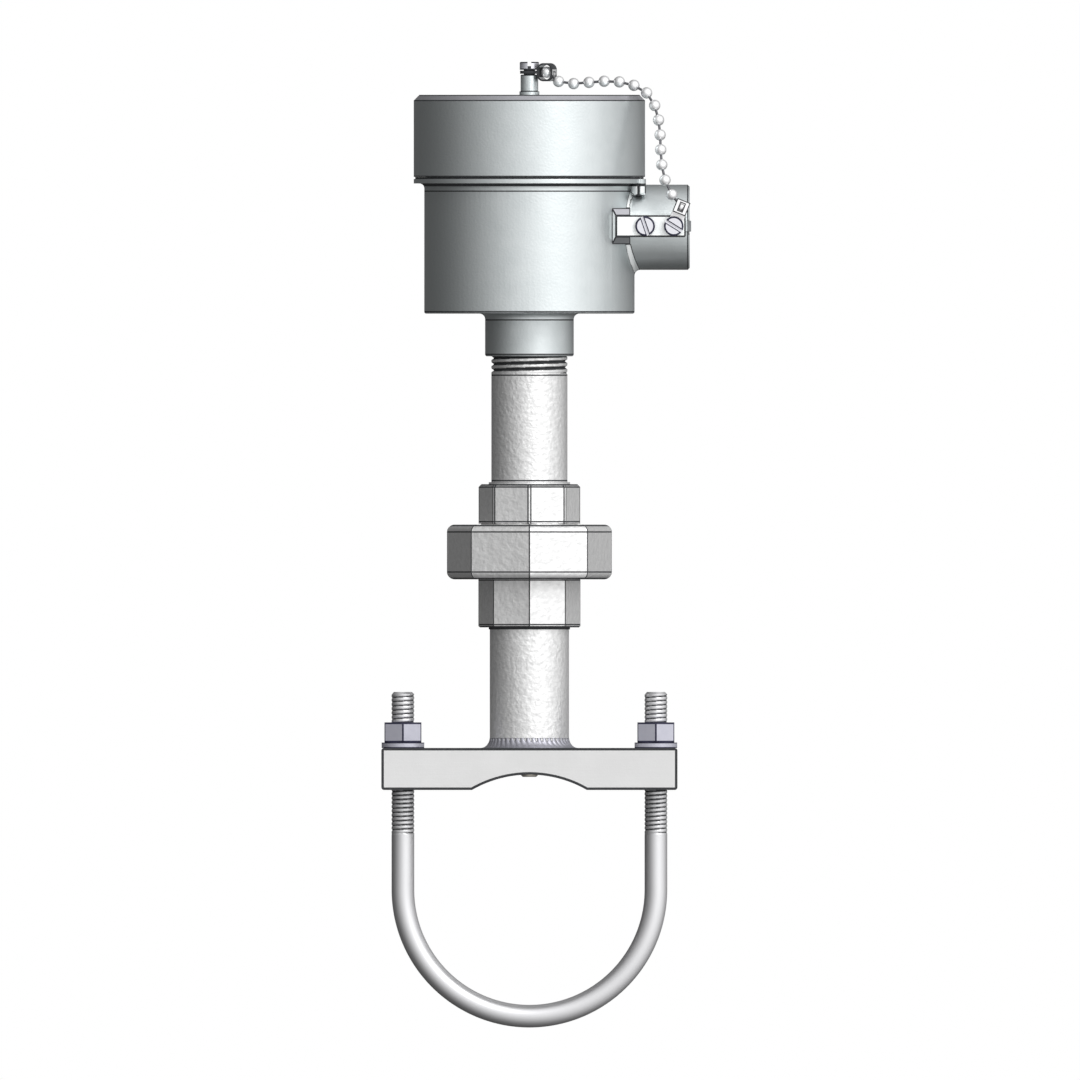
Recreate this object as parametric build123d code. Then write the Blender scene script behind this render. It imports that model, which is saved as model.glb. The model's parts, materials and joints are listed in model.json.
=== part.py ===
from build123d import *
from math import cos, pi, radians, sin, sqrt
import os

# Surface resistance thermometer: a round connection head on a pipe neck with a union,
# welded to a saddle bar that a U-bolt clamps round a line. Lengths are in millimetres.
# +Z is up, -Y is the front, and the origin is on the axis of the clamped line.

# Clearances
thread_clearance = 0.05
running_clearance = 0.1
face_clearance = 0.3
rod_hole_clearance = 0.5

# Saddle bar
seat_radius = 40.5
seat_depth = 5.4
bar_end_beyond_leg = 7.6
bar_depth = 40.0
bar_thickness = 14.8
bar_edge_radius = 1.0

# U-bolt with its nuts and washers
rod_radius = 4.0
leg_above_bar = 19.7
leg_end_chamfer = 0.8
washer_radius = 7.5
washer_thickness = 1.9
clamp_nut_flats = 13.0
clamp_nut_height = 7.1
clamp_nut_chamfer = 1.0

# Neck pipes
lower_pipe_radius = 13.95
upper_pipe_radius = 13.4
pipe_bore_radius = 10.5
lower_pipe_free_length = 42.4
upper_pipe_free_length = 45.0
pipe_thread_taper = 1 / 32
pipe_thread_depth = 12.0
thread_root_drop = 0.25
visible_thread_length = 6.5
weld_leg = 3.2
weld_rise = 3.5

# Union
tail_corner_radius = 17.95
tail_chamfer = 1.0
tail_edge_radius = 1.0
tail_lip_radius = 14.3
tail_lip_height = 0.7
lower_tail_height = 16.9
upper_tail_height = 13.9
union_nut_corner_radius = 29.0
union_nut_height = 19.3
union_nut_edge_radius = 2.6
union_nut_lip = 4.5
union_thread_radius = 22.0
union_thread_height = 6.8
union_collar_radius = 21.0
union_throat_radius = 17.0
union_seal_thickness = 1.5
union_seal_radius = 20.0
union_seal_bore_radius = 11.5

# Head body
boss_radius = 15.6
boss_height = 15.0
boss_edge_radius = 0.7
boss_root_radius = 2.0
body_radius = 37.0
body_height = 45.8
body_edge_radius = 0.7
wall_thickness = 5.0
floor_thickness = 5.0
chamber_root_radius = 2.0
flange_overhang = 3.7
flange_thickness = 1.6
flange_root_radius = 1.7
cover_seat_inset = 0.5
spigot_step = 0.6
spigot_height = 12.0
spigot_chamfer = 0.8
seal_section_radius = 1.0
seal_groove_rise = 1.0
seal_groove_side_gap = 0.3

# Conduit entry on +X
entry_outer_radius = 15.0
entry_beyond_body = 19.4
entry_height = 30.4
entry_edge_chamfer = 0.7
entry_root_radius = 2.0
entry_bore_radius = 9.2
entry_thread_length = 17.0
entry_mouth_chamfer = 0.8
entry_throat_radius = 8.0

# Earth pad on the front of the conduit entry
pad_front = 24.0
pad_half_height = 3.8
pad_end_inset = 1.4
pad_rise = 0.4
pad_corner_radius = 0.6
foot_end_inset = 1.5
foot_length = 9.5
foot_half_height = 6.3
foot_bevel_depth = 1.4
pad_start_inset = 6.5
tail_rib_reach = 0.5
tail_rib_half_height = 1.9
tail_rib_depth = 3.0
pad_screw_spacing = 10.1
anchor_screw_inset = 4.2
earth_slot_angle = 109.0
anchor_slot_angle = 148.0

# Lug with the cover's lock screw, under the flange
lug_angle = -15.8
lug_beyond_body = 2.9
lug_radius = 2.6
lug_drop = 4.2
lug_edge_radius = 1.2
lug_groove_radius = 0.8
lug_groove_depth = 0.5
lock_screw_radius = 1.25
lock_screw_recess = 0.4
lock_screw_reach = 0.4
lock_socket_radius = 0.7
lock_socket_depth = 1.5

# Head cover
cover_height = 28.9
cover_gap = 0.7
cover_chamfer = 2.0
cover_top_thickness = 4.0
cover_wall_thickness = 6.7
cover_thread_length = 13.0
post_radius = 3.1
post_height = 7.1
post_ring_radius = 3.5
post_ring_height = 1.2
post_edge_radius = 0.4

# Slotted screws of the chain, the pad and the chamber
post_screw_head_radius = 3.4
post_screw_head_height = 2.8
post_screw_gap = 1.7
post_screw_depth = 5.0
pad_screw_head_radius = 3.45
pad_screw_head_height = 2.2
pad_screw_depth = 7.0
screw_shank_radius = 2.0
post_slot_width = 1.3
post_slot_depth = 1.5
pad_slot_width = 0.9
pad_slot_depth = 0.9
head_edge_chamfer = 0.3

# Bead chain and its end pieces
bead_radius = 2.0
bead_pitch = 5.6
link_wire_radius = 0.45
strap_thickness = 0.6
link_heading = -22.0
link_length = 5.8
link_height = 6.4
link_depth = 4.6
link_corner_radius = 2.4
link_slot_width = 1.6
eye_radius = 3.3
eye_thickness = 1.1
clamp_tilt = 22.0
clamp_distance = 7.2
clamp_width = 4.9
clamp_height = 5.0
clamp_wall = 0.4
clamp_eye_thickness = 1.0
clamp_window_width = 1.5
clamp_window_height = 2.8
clamp_notch_width = 2.0
clamp_notch_depth = 2.0

# Chain route: how far it stands off the cover's top, side and front
chain_over_top = 4.4
chain_off_corner = 0.6
chain_off_side = 5.4
chain_side_drift = 0.9

# Measuring insert
sheath_radius = 3.0
sheath_hole_radius = 3.3
tip_length = 10.0
tip_proud = 0.8
tip_chamfer = 0.6
ferrule_radius = 5.0
ferrule_length = 7.0
plate_radius = 21.0
plate_thickness = 2.0
spring_spacing = 33.0
spring_screw_radius = 1.5
spring_screw_depth = 4.0
spring_screw_head_radius = 3.0
spring_screw_head_height = 2.0
spring_hole_radius = 1.7
spring_radius = 2.4
spring_wire_radius = 0.4
spring_turns = 5
block_radius = 19.0
block_height = 12.0
block_notch_radius = 3.8
block_bore_radius = 4.0
terminal_count = 4
terminal_distance = 11.0
terminal_size = 6.0
terminal_sink = 3.0
terminal_proud = 0.6
terminal_gap = 0.2
terminal_screw_radius = 1.25
terminal_screw_head_radius = 2.2
terminal_screw_head_height = 1.6
terminal_screw_depth = 2.4
small_slot_width = 0.6
small_slot_depth = 0.7
terminal_slot_angle = 45.0
lead_radius = 0.5
lead_start = 1.6
lead_sink = 4.0

# Inner earth terminal
inner_earth_inset = 6.0
inner_earth_boss_radius = 4.2
inner_earth_boss_height = 4.0
inner_earth_screw_depth = 5.0
inner_earth_head_height = 2.2

# Widths and reaches worked out from the sizes above
leg_offset = seat_radius + rod_radius
bar_length = 2 * (leg_offset + bar_end_beyond_leg)
chamber_radius = body_radius - wall_thickness
inner_earth_y = chamber_radius - inner_earth_inset
spigot_radius = body_radius - spigot_step
seal_middle_radius = spigot_radius + thread_clearance - seal_section_radius
flange_radius = body_radius + flange_overhang
cover_inner_radius = flange_radius - cover_wall_thickness
lug_distance = body_radius + lug_beyond_body
entry_reach = body_radius + entry_beyond_body
pad_end = entry_reach - pad_end_inset
foot_end = body_radius - foot_end_inset
foot_start = foot_end - foot_length
pad_start = body_radius - pad_start_inset
anchor_screw_x = pad_end - anchor_screw_inset
earth_screw_x = anchor_screw_x - pad_screw_spacing

# Heights worked out from the sizes above
bar_bottom_z = seat_radius - seat_depth
bar_top_z = bar_bottom_z + bar_thickness
leg_top_z = bar_top_z + leg_above_bar
washer_top_z = bar_top_z + washer_thickness
lower_tail_z = bar_top_z + lower_pipe_free_length
union_nut_z = lower_tail_z + lower_tail_height
union_nut_top_z = union_nut_z + union_nut_height
union_seal_z = union_nut_z + union_thread_height
collar_z = union_seal_z + union_seal_thickness
collar_top_z = union_nut_top_z - union_nut_lip
upper_tail_z = union_nut_top_z + face_clearance
upper_tail_top_z = upper_tail_z + upper_tail_height
boss_z = upper_tail_top_z + upper_pipe_free_length
body_z = boss_z + boss_height
flange_z = body_z + body_height
flange_top_z = flange_z + flange_thickness
floor_z = body_z + floor_thickness
spigot_top_z = flange_top_z + spigot_height
entry_z = body_z + entry_height
cover_z = flange_top_z + cover_gap
cover_top_z = cover_z + cover_height
post_top_z = cover_top_z + post_height
post_screw_z = post_top_z + post_screw_gap
pad_z = entry_z + pad_rise
plate_top_z = floor_z + plate_thickness
block_top_z = plate_top_z + block_height


def bar(radius, z_low, z_high, x=0.0, y=0.0):
    """Upright round bar between two heights."""
    return Pos(x, y, z_low) * extrude(Circle(radius), z_high - z_low)


def cross_bar(radius, y_front, y_back, x, z):
    """Round bar that runs from the front to the back."""
    return Pos(x, y_front, z) * Rot(-90, 0, 0) * extrude(Circle(radius), y_back - y_front)


def side_bar(radius, x_low, x_high, z):
    """Round bar along X."""
    return Pos(x_low, 0, z) * Rot(0, 90, 0) * extrude(Circle(radius), x_high - x_low)


def block(x_low, x_high, y_low, y_high, z_low, z_high):
    """Plain block between its two corners."""
    size = (x_high - x_low, y_high - y_low, z_high - z_low)
    return Pos(x_low, y_low, z_low) * Box(*size, align=(Align.MIN, Align.MIN, Align.MIN))


def turned(*outline):
    """Turned solid from the (radius, height) corners of its half section."""
    return revolve(Plane.XZ * make_face(Polyline(*outline, close=True)), Axis.Z)


def pipe_thread_plug(radius, z_mouth, direction, grow=0.0):
    """Tapered plug of a pipe thread, from its mouth into the piece that receives it."""
    tip_radius = radius - pipe_thread_depth * pipe_thread_taper
    z_tip = z_mouth + direction * pipe_thread_depth
    mouth = (radius + grow, z_mouth)
    tip = (tip_radius + grow, z_tip)
    return turned((0, z_mouth), mouth, tip, (0, z_tip))


def octagon_prism(corner_radius, z_low, z_high):
    """Octagonal bar with one corner to the front."""
    return Pos(0, 0, z_low) * extrude(RegularPolygon(corner_radius, 8), z_high - z_low)


def corner_ring(radius, rise, z, upward):
    """Ring with a hollow quarter-round section that fills the corner at a wall's foot."""
    tip_z = z + (rise if upward else -rise)
    bend = ThreePointArc(
        (radius + rise, z),
        (radius + rise * (1 - sin(pi / 4)), z + (tip_z - z) * (1 - sin(pi / 4))),
        (radius, tip_z),
    )
    edges = [bend, Line((radius, tip_z), (radius, z)), Line((radius, z), (radius + rise, z))]
    return revolve(Plane.XZ * make_face(edges), Axis.Z)


def slotted_screw(head_radius, head_height, shank_radius, shank_length, slot):
    """Cheese-head screw on its own axis, with the head's underside at zero."""
    slot_width, slot_depth, slot_angle = slot
    head = bar(head_radius, 0, head_height)
    head = chamfer(head.edges().group_by(Axis.Z)[-1], head_edge_chamfer)
    cutter = Box(3 * head_radius, slot_width, 2 * slot_depth)
    head -= Pos(0, 0, head_height) * Rot(0, 0, slot_angle) * cutter
    return head + bar(shank_radius, -shank_length, 0)


def make_saddle_bar():
    """Flat bar with the round seat, the holes for the legs and the sensor's hole."""
    body = block(
        -bar_length / 2, bar_length / 2, -bar_depth / 2, bar_depth / 2, bar_bottom_z, bar_top_z
    )
    body = fillet(body.edges().filter_by(Axis.Y), bar_edge_radius)
    body -= cross_bar(seat_radius, -bar_depth, bar_depth, 0, 0)
    body -= bar(sheath_hole_radius, bar_bottom_z, bar_top_z)
    for side in (-1, 1):
        hole_radius = rod_radius + rod_hole_clearance
        body -= bar(hole_radius, bar_bottom_z, bar_top_z, side * leg_offset)
    return body


def make_u_bolt():
    """Round bar bent to a half circle, with two straight legs."""
    bolt = revolve(Pos(leg_offset, 0, 0) * Circle(rod_radius), Axis.Y, 180)
    for side in (-1, 1):
        leg = bar(rod_radius, 0, leg_top_z, side * leg_offset)
        bolt += chamfer(leg.edges().group_by(Axis.Z)[-1], leg_end_chamfer)
    return bolt


def make_washer(side):
    """Flat washer on the bar."""
    x = side * leg_offset
    hole_radius = rod_radius + rod_hole_clearance
    return bar(washer_radius, bar_top_z, washer_top_z, x) - bar(hole_radius, bar_top_z, washer_top_z, x)


def make_clamp_nut(side):
    """Hexagon nut with chamfered corners, one corner to the front."""
    corner_radius = clamp_nut_flats / sqrt(3)
    prism = extrude(RegularPolygon(corner_radius, 6, rotation=30), clamp_nut_height)
    envelope = extrude(Circle(corner_radius), clamp_nut_height)
    rims = envelope.edges().filter_by(GeomType.CIRCLE)
    envelope = chamfer(rims, clamp_nut_chamfer / 2, clamp_nut_chamfer)
    nut = (prism & envelope) - extrude(Circle(rod_radius + running_clearance), clamp_nut_height)
    return Pos(side * leg_offset, 0, washer_top_z) * nut


def make_weld_bead():
    """Hollow fillet weld round the foot of the lower pipe."""
    outer = lower_pipe_radius + weld_leg
    middle_radius = lower_pipe_radius + 0.4 * weld_leg
    middle_z = bar_top_z + 0.4 * weld_rise
    foot = (outer, bar_top_z)
    top = (lower_pipe_radius, bar_top_z + weld_rise)
    edges = [
        ThreePointArc(foot, (middle_radius, middle_z), top),
        Line(top, (lower_pipe_radius, bar_top_z)),
        Line((lower_pipe_radius, bar_top_z), foot),
    ]
    return revolve(Plane.XZ * make_face(edges), Axis.Z)


def make_lower_nipple():
    """Pipe from the bar into the union's lower tail."""
    pipe = bar(lower_pipe_radius, bar_top_z, lower_tail_z)
    pipe += pipe_thread_plug(lower_pipe_radius - thread_root_drop, lower_tail_z, 1)
    return pipe - bar(pipe_bore_radius, bar_top_z, lower_tail_z + pipe_thread_depth)


def make_union_lower_tail():
    """Threaded end of the union, sharp octagon below and round male thread above."""
    tail = octagon_prism(tail_corner_radius, lower_tail_z, union_nut_z)
    tail = chamfer(tail.edges().group_by(Axis.Z)[0], tail_chamfer / 2)
    tail += bar(union_thread_radius, union_nut_z, union_seal_z)
    tail += bar(tail_lip_radius, lower_tail_z - tail_lip_height, lower_tail_z)
    tail -= bar(lower_pipe_radius + thread_clearance, lower_tail_z - tail_lip_height, lower_tail_z)
    tail -= bar(pipe_bore_radius, lower_tail_z, union_seal_z)
    return tail - pipe_thread_plug(
        lower_pipe_radius - thread_root_drop, lower_tail_z, 1, thread_clearance
    )


def make_union_seal():
    """Flat seal ring between the faces of the two tails."""
    ring = bar(union_seal_radius, union_seal_z, collar_z)
    return ring - bar(union_seal_bore_radius, union_seal_z, collar_z)


def make_union_nut():
    """Octagonal union nut with a lip that draws the upper tail's collar down."""
    nut = octagon_prism(union_nut_corner_radius, union_nut_z, union_nut_top_z)
    rims = nut.edges().group_by(Axis.Z)
    nut = fillet(rims[0] + rims[-1], union_nut_edge_radius)
    nut -= bar(union_thread_radius + running_clearance, union_nut_z, collar_top_z)
    return nut - bar(union_throat_radius + face_clearance, collar_top_z, union_nut_top_z)


def make_union_upper_tail():
    """Swivelling end of the union, with its collar, throat and octagon."""
    tail = octagon_prism(tail_corner_radius, upper_tail_z, upper_tail_top_z)
    tail = fillet(tail.edges().filter_by(Axis.Z), tail_edge_radius)
    tail = chamfer(tail.edges().group_by(Axis.Z)[-1], tail_chamfer)
    tail += bar(union_throat_radius, collar_top_z, upper_tail_z)
    tail += bar(union_collar_radius, collar_z, collar_top_z)
    lip_top_z = upper_tail_top_z + tail_lip_height
    tail += bar(tail_lip_radius, upper_tail_top_z, lip_top_z)
    tail -= bar(upper_pipe_radius + thread_clearance, upper_tail_top_z, lip_top_z)
    tail -= bar(pipe_bore_radius, collar_z, upper_tail_top_z)
    return tail - pipe_thread_plug(
        upper_pipe_radius - thread_root_drop, upper_tail_top_z, -1, thread_clearance
    )


def make_upper_nipple():
    """Pipe from the union's upper tail into the head, with some thread left in sight."""
    shoulder_z = boss_z - visible_thread_length
    thread_radius = upper_pipe_radius - thread_root_drop
    pipe = bar(upper_pipe_radius, upper_tail_top_z, shoulder_z)
    pipe += bar(thread_radius, shoulder_z, boss_z)
    pipe += pipe_thread_plug(thread_radius, upper_tail_top_z, -1)
    pipe += pipe_thread_plug(thread_radius, boss_z, 1)
    z_low = upper_tail_top_z - pipe_thread_depth
    return pipe - bar(pipe_bore_radius, z_low, boss_z + pipe_thread_depth)


def make_earth_pad():
    """Raised pad along the front of the conduit entry, with its bevelled foot."""
    z_low = pad_z - pad_half_height
    z_high = pad_z + pad_half_height
    pad = block(pad_start, pad_end, -pad_front, 0, z_low, z_high)
    pad = fillet(pad.edges().filter_by(Axis.Y).group_by(Axis.X)[-1], pad_corner_radius)
    foot = block(
        foot_start, foot_end, -pad_front, 0, pad_z - foot_half_height, pad_z + foot_half_height
    )
    front = foot.faces().sort_by(Axis.Y)[0]
    bevel_edges = front.edges().filter_by(Axis.X)
    bevel = foot_half_height - pad_half_height
    foot = chamfer(bevel_edges, bevel, foot_bevel_depth, reference=front)
    rib = block(
        pad_end - tail_rib_depth,
        entry_reach + tail_rib_reach,
        -entry_outer_radius - tail_rib_depth,
        -entry_bore_radius - tail_rib_depth,
        pad_z - tail_rib_half_height,
        pad_z + tail_rib_half_height,
    )
    return pad + foot + rib


def make_head_body():
    """Round cast housing with its neck boss, conduit entry, earth pad and spigot."""
    # The stock stands taller than the wall, so that the entry's root can be rounded whole
    stock_top_z = entry_z + entry_outer_radius + 3 * entry_root_radius
    shell = bar(body_radius, body_z, stock_top_z)
    shell = fillet(shell.edges().group_by(Axis.Z)[0], body_edge_radius)
    entry = side_bar(entry_outer_radius, 0, entry_reach, entry_z)
    entry = chamfer(entry.edges().group_by(Axis.X)[-1], entry_edge_chamfer)
    shell += entry
    plain_edges = (GeomType.LINE, GeomType.CIRCLE)
    root = [edge for edge in shell.edges() if edge.geom_type not in plain_edges]
    shell = fillet(root, entry_root_radius)
    shell -= bar(2 * flange_radius, flange_z, stock_top_z)
    shell += bar(flange_radius, flange_z, flange_top_z)
    shell += bar(flange_radius - cover_seat_inset, flange_z, cover_z - running_clearance)
    shell += corner_ring(body_radius, flange_root_radius, flange_z, False)

    boss = bar(boss_radius, boss_z, body_z + wall_thickness)
    shell += fillet(boss.edges().group_by(Axis.Z)[0], boss_edge_radius)
    shell += corner_ring(boss_radius, boss_root_radius, body_z, False)

    spigot = bar(spigot_radius, flange_z, spigot_top_z)
    shell += chamfer(spigot.edges().group_by(Axis.Z)[-1], spigot_chamfer)
    shell += make_earth_pad()
    shell += make_lug()

    chamber = bar(chamber_radius, floor_z, spigot_top_z)
    shell -= fillet(chamber.edges().group_by(Axis.Z)[0], chamber_root_radius)
    shell += bar(inner_earth_boss_radius, body_z + 1, floor_z + inner_earth_boss_height, 0, inner_earth_y)
    return shell - make_head_bores()


def make_lug():
    """Rounded lug that hangs under the flange and takes the lock screw."""
    x = lug_distance * cos(radians(lug_angle))
    y = lug_distance * sin(radians(lug_angle))
    lug = bar(lug_radius, flange_z - lug_drop, flange_top_z, x, y)
    lug = fillet(lug.edges().group_by(Axis.Z)[0], lug_edge_radius)
    groove_y = y - lug_radius - lug_groove_radius + lug_groove_depth
    return lug - bar(lug_groove_radius, flange_z - lug_drop, flange_z, x, groove_y)


def make_head_bores():
    """Everything that is bored or grooved into the head body."""
    thread_radius = upper_pipe_radius - thread_root_drop
    bores = pipe_thread_plug(thread_radius, boss_z, 1, thread_clearance)
    bores += bar(pipe_bore_radius, boss_z, floor_z)

    thread_end = entry_reach - entry_thread_length
    bores += side_bar(entry_bore_radius, thread_end, entry_reach + 1, entry_z)
    bores += side_bar(entry_throat_radius, 0, thread_end, entry_z)
    mouth = Cone(entry_bore_radius, entry_bore_radius + entry_mouth_chamfer, entry_mouth_chamfer)
    bores += Pos(entry_reach - entry_mouth_chamfer / 2, 0, entry_z) * Rot(0, 90, 0) * mouth

    groove_z = cover_z + seal_groove_rise
    groove_top_z = groove_z + 2 * (seal_section_radius + seal_groove_side_gap)
    groove_floor = seal_middle_radius - seal_section_radius - thread_clearance
    bores += bar(2 * spigot_radius, groove_z, groove_top_z) - bar(groove_floor, groove_z, groove_top_z)

    for x in (earth_screw_x, anchor_screw_x):
        hole_radius = screw_shank_radius + thread_clearance
        bores += cross_bar(hole_radius, -pad_front - 1, -pad_front + pad_screw_depth + 1, x, pad_z)
    lug_x = lug_distance * cos(radians(lug_angle))
    lug_y = lug_distance * sin(radians(lug_angle))
    lock_hole_radius = lock_screw_radius + thread_clearance
    bores += bar(lock_hole_radius, flange_z - lug_drop, cover_z, lug_x, lug_y)
    for side in (-1, 1):
        hole_radius = spring_screw_radius + thread_clearance
        bores += bar(hole_radius, floor_z - spring_screw_depth, floor_z, side * spring_spacing / 2)
    earth_top_z = floor_z + inner_earth_boss_height
    hole_radius = screw_shank_radius + thread_clearance
    bores += bar(hole_radius, earth_top_z - inner_earth_screw_depth, earth_top_z, 0, inner_earth_y)
    return bores


def make_cover_seal():
    """Ring seal in the groove at the spigot's foot."""
    groove_middle_z = cover_z + seal_groove_rise + seal_section_radius + seal_groove_side_gap
    return Pos(0, 0, groove_middle_z) * Torus(seal_middle_radius, seal_section_radius)


def make_cover_lock_screw():
    """Set screw that locks the cover, with its socket below."""
    x = lug_distance * cos(radians(lug_angle))
    y = lug_distance * sin(radians(lug_angle))
    z_low = flange_z - lug_drop + lock_screw_recess
    screw = bar(lock_screw_radius, z_low, flange_top_z + lock_screw_reach, x, y)
    socket = extrude(RegularPolygon(lock_socket_radius, 6), lock_socket_depth)
    return screw - Pos(x, y, z_low) * socket


def make_head_cover():
    """Screw cap with a post cast on its middle for the chain's screw."""
    cover = bar(flange_radius, cover_z, cover_top_z)
    cover = chamfer(cover.edges().group_by(Axis.Z)[-1], cover_chamfer)
    post = bar(post_radius, cover_top_z, post_top_z)
    cover += fillet(post.edges().group_by(Axis.Z)[-1], post_edge_radius)
    cover += bar(post_ring_radius, cover_top_z, cover_top_z + post_ring_height)
    thread_top_z = cover_z + cover_thread_length
    cover -= bar(spigot_radius + running_clearance, cover_z, thread_top_z)
    cover -= bar(cover_inner_radius, cover_z, cover_top_z - cover_top_thickness)
    return cover - bar(screw_shank_radius + thread_clearance, post_top_z - post_screw_depth, post_top_z)


def make_cover_chain_screw():
    """Screw in the cover's post, which traps the chain's eye."""
    slot = (post_slot_width, post_slot_depth, 90)
    shank_length = post_screw_gap + post_screw_depth
    screw = slotted_screw(
        post_screw_head_radius, post_screw_head_height, screw_shank_radius, shank_length, slot
    )
    return Pos(0, 0, post_screw_z) * screw


def make_pad_screw(x, slot_angle, lift):
    """Screw on the earth pad. The lift is what lies under its head."""
    slot = (pad_slot_width, pad_slot_depth, slot_angle)
    screw = slotted_screw(
        pad_screw_head_radius, pad_screw_head_height, screw_shank_radius, pad_screw_depth + lift, slot
    )
    return Pos(x, -pad_front - lift, pad_z) * Rot(90, 0, 0) * screw


def link_middle():
    """Distance of the upper link's middle from the cover's axis, and its height."""
    distance = post_screw_head_radius + face_clearance + link_length / 2
    return distance, post_top_z + post_screw_gap / 2


def make_chain_upper_link():
    """Bent strap that holds the first bead and swivels on the post's screw."""
    distance, height = link_middle()
    outer = RectangleRounded(link_length, link_height, link_corner_radius)
    inner_length = link_length - 2 * strap_thickness
    inner_height = link_height - 2 * strap_thickness
    inner = RectangleRounded(inner_length, inner_height, link_corner_radius - strap_thickness)
    strap = Pos(distance, 0, height) * Rot(90, 0, 0) * extrude(outer - inner, link_depth / 2, both=True)
    slot = Box(link_length, link_slot_width, link_height, align=(Align.MIN, Align.CENTER, Align.MAX))
    strap -= Pos(distance, 0, height) * slot
    eye = bar(eye_radius, height - eye_thickness / 2, height + eye_thickness / 2)
    tongue = block(
        0,
        distance - link_length / 2 + strap_thickness,
        -link_depth / 2,
        link_depth / 2,
        height - eye_thickness / 2,
        height + eye_thickness / 2,
    )
    hole_radius = screw_shank_radius + running_clearance
    link = eye + tongue + strap - bar(hole_radius, height - eye_thickness, height + eye_thickness)
    return Rot(0, 0, link_heading) * link


def clamp_middle():
    """Place of the last bead, inside the lower clamp."""
    lean = radians(clamp_tilt)
    return (
        anchor_screw_x + clamp_distance * sin(lean),
        -pad_front - clamp_width / 2,
        pad_z + clamp_distance * cos(lean),
    )


def make_chain_lower_clamp():
    """Small clamp with a window, held under the head of the anchor screw."""
    y_back = -pad_front
    y_front = -pad_front - clamp_width
    half = clamp_width / 2
    low = clamp_distance - clamp_height / 2
    high = clamp_distance + clamp_height / 2
    cage = block(-half, half, y_front, y_back, low, high)
    cage -= block(
        clamp_wall - half,
        half - clamp_wall,
        y_front + clamp_wall,
        y_back - clamp_wall,
        low + clamp_wall,
        high,
    )
    window_half = clamp_window_width / 2
    middle = (low + high) / 2
    cage -= block(
        -window_half,
        window_half,
        y_front,
        y_front + clamp_wall,
        middle - clamp_window_height / 2,
        middle + clamp_window_height / 2,
    )
    y_middle = (y_front + y_back) / 2
    cage -= block(
        -half,
        0,
        y_middle - clamp_notch_width / 2,
        y_middle + clamp_notch_width / 2,
        high - clamp_notch_depth,
        high,
    )
    plate = cross_bar(eye_radius, y_back - clamp_eye_thickness, y_back, 0, 0)
    plate += block(-half, half, y_back - clamp_eye_thickness, y_back, 0, low + clamp_wall)
    plate -= cross_bar(screw_shank_radius + thread_clearance, y_front, y_back, 0, 0)
    return Pos(anchor_screw_x, 0, pad_z) * Rot(0, clamp_tilt, 0) * (cage + plate)


def chain_route():
    """Line of the bead chain, from the upper link over the cover's corner to the clamp."""
    distance, height = link_middle()
    heading = radians(link_heading)
    start = (distance * cos(heading), distance * sin(heading), height)
    end = clamp_middle()
    fall = cover_top_z - end[2]
    side_x = flange_radius + chain_off_side

    def front(share):
        """Depth of the route at a share of its way to the front."""
        return start[1] + share * (end[1] - start[1])

    points = [
        start,
        (start[0] + 0.9 * bead_pitch, front(0.09), cover_top_z + chain_over_top),
        (flange_radius * 0.52, front(0.22), cover_top_z + chain_over_top),
        (flange_radius * 0.80, front(0.38), cover_top_z + chain_over_top),
        (flange_radius + chain_off_corner, front(0.54), cover_top_z + chain_off_corner),
        (side_x - chain_side_drift / 2, front(0.72), cover_top_z - 0.26 * fall),
        (side_x + chain_side_drift / 2, front(0.95), cover_top_z - 0.62 * fall),
        end,
    ]
    return Spline(*points)


def make_bead_chain():
    """Hollow-bead chain: equal beads on one route, with a short wire from each to the next."""
    route = chain_route()
    gaps = round(route.length / bead_pitch)
    places = [route.position_at(step / gaps) for step in range(gaps + 1)]
    chain = Part() + [Pos(place) * Sphere(bead_radius) for place in places]
    for place, following in zip(places, places[1:]):
        stretch = following - place
        wire = extrude(Circle(link_wire_radius), stretch.length)
        chain += Plane(origin=place, z_dir=stretch) * wire
    return chain


def make_insert_plate():
    """Round plate that carries the insert, on its two spring screws."""
    plate = bar(plate_radius, floor_z, plate_top_z) - bar(sheath_radius, floor_z, plate_top_z)
    for side in (-1, 1):
        plate -= bar(spring_hole_radius, floor_z, plate_top_z, side * spring_spacing / 2)
    return plate


def terminal_places():
    """Middles of the terminals on the block."""
    return [
        (terminal_distance * cos(angle), terminal_distance * sin(angle))
        for angle in (pi * (2 * count + 1) / terminal_count for count in range(terminal_count))
    ]


def make_terminal_block():
    """Ceramic block with a wire hole, notches for the springs and seats for the terminals."""
    base = bar(block_radius, plate_top_z, block_top_z)
    base -= bar(block_bore_radius, plate_top_z, block_top_z)
    for side in (-1, 1):
        base -= bar(block_notch_radius, plate_top_z, block_top_z, side * spring_spacing / 2)
    for x, y in terminal_places():
        half = terminal_size / 2
        base -= block(x - half, x + half, y - half, y + half, block_top_z - terminal_sink, block_top_z)
    return base


def make_terminal_clamps():
    """Brass terminal blocks in their seats."""
    half = terminal_size / 2 - terminal_gap
    low = block_top_z - terminal_sink
    high = block_top_z + terminal_proud
    clamps = []
    for x, y in terminal_places():
        clamp = block(x - half, x + half, y - half, y + half, low, high)
        hole_radius = terminal_screw_radius + thread_clearance
        clamps.append(clamp - bar(hole_radius, high - terminal_screw_depth, high, x, y))
    return Compound(children=clamps)


def make_terminal_screws():
    """Slotted screws in the terminals."""
    slot = (small_slot_width, small_slot_depth, terminal_slot_angle)
    screws = []
    for x, y in terminal_places():
        screw = slotted_screw(
            terminal_screw_head_radius,
            terminal_screw_head_height,
            terminal_screw_radius,
            terminal_screw_depth,
            slot,
        )
        screws.append(Pos(x, y, block_top_z + terminal_proud) * screw)
    return Compound(children=screws)


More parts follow.
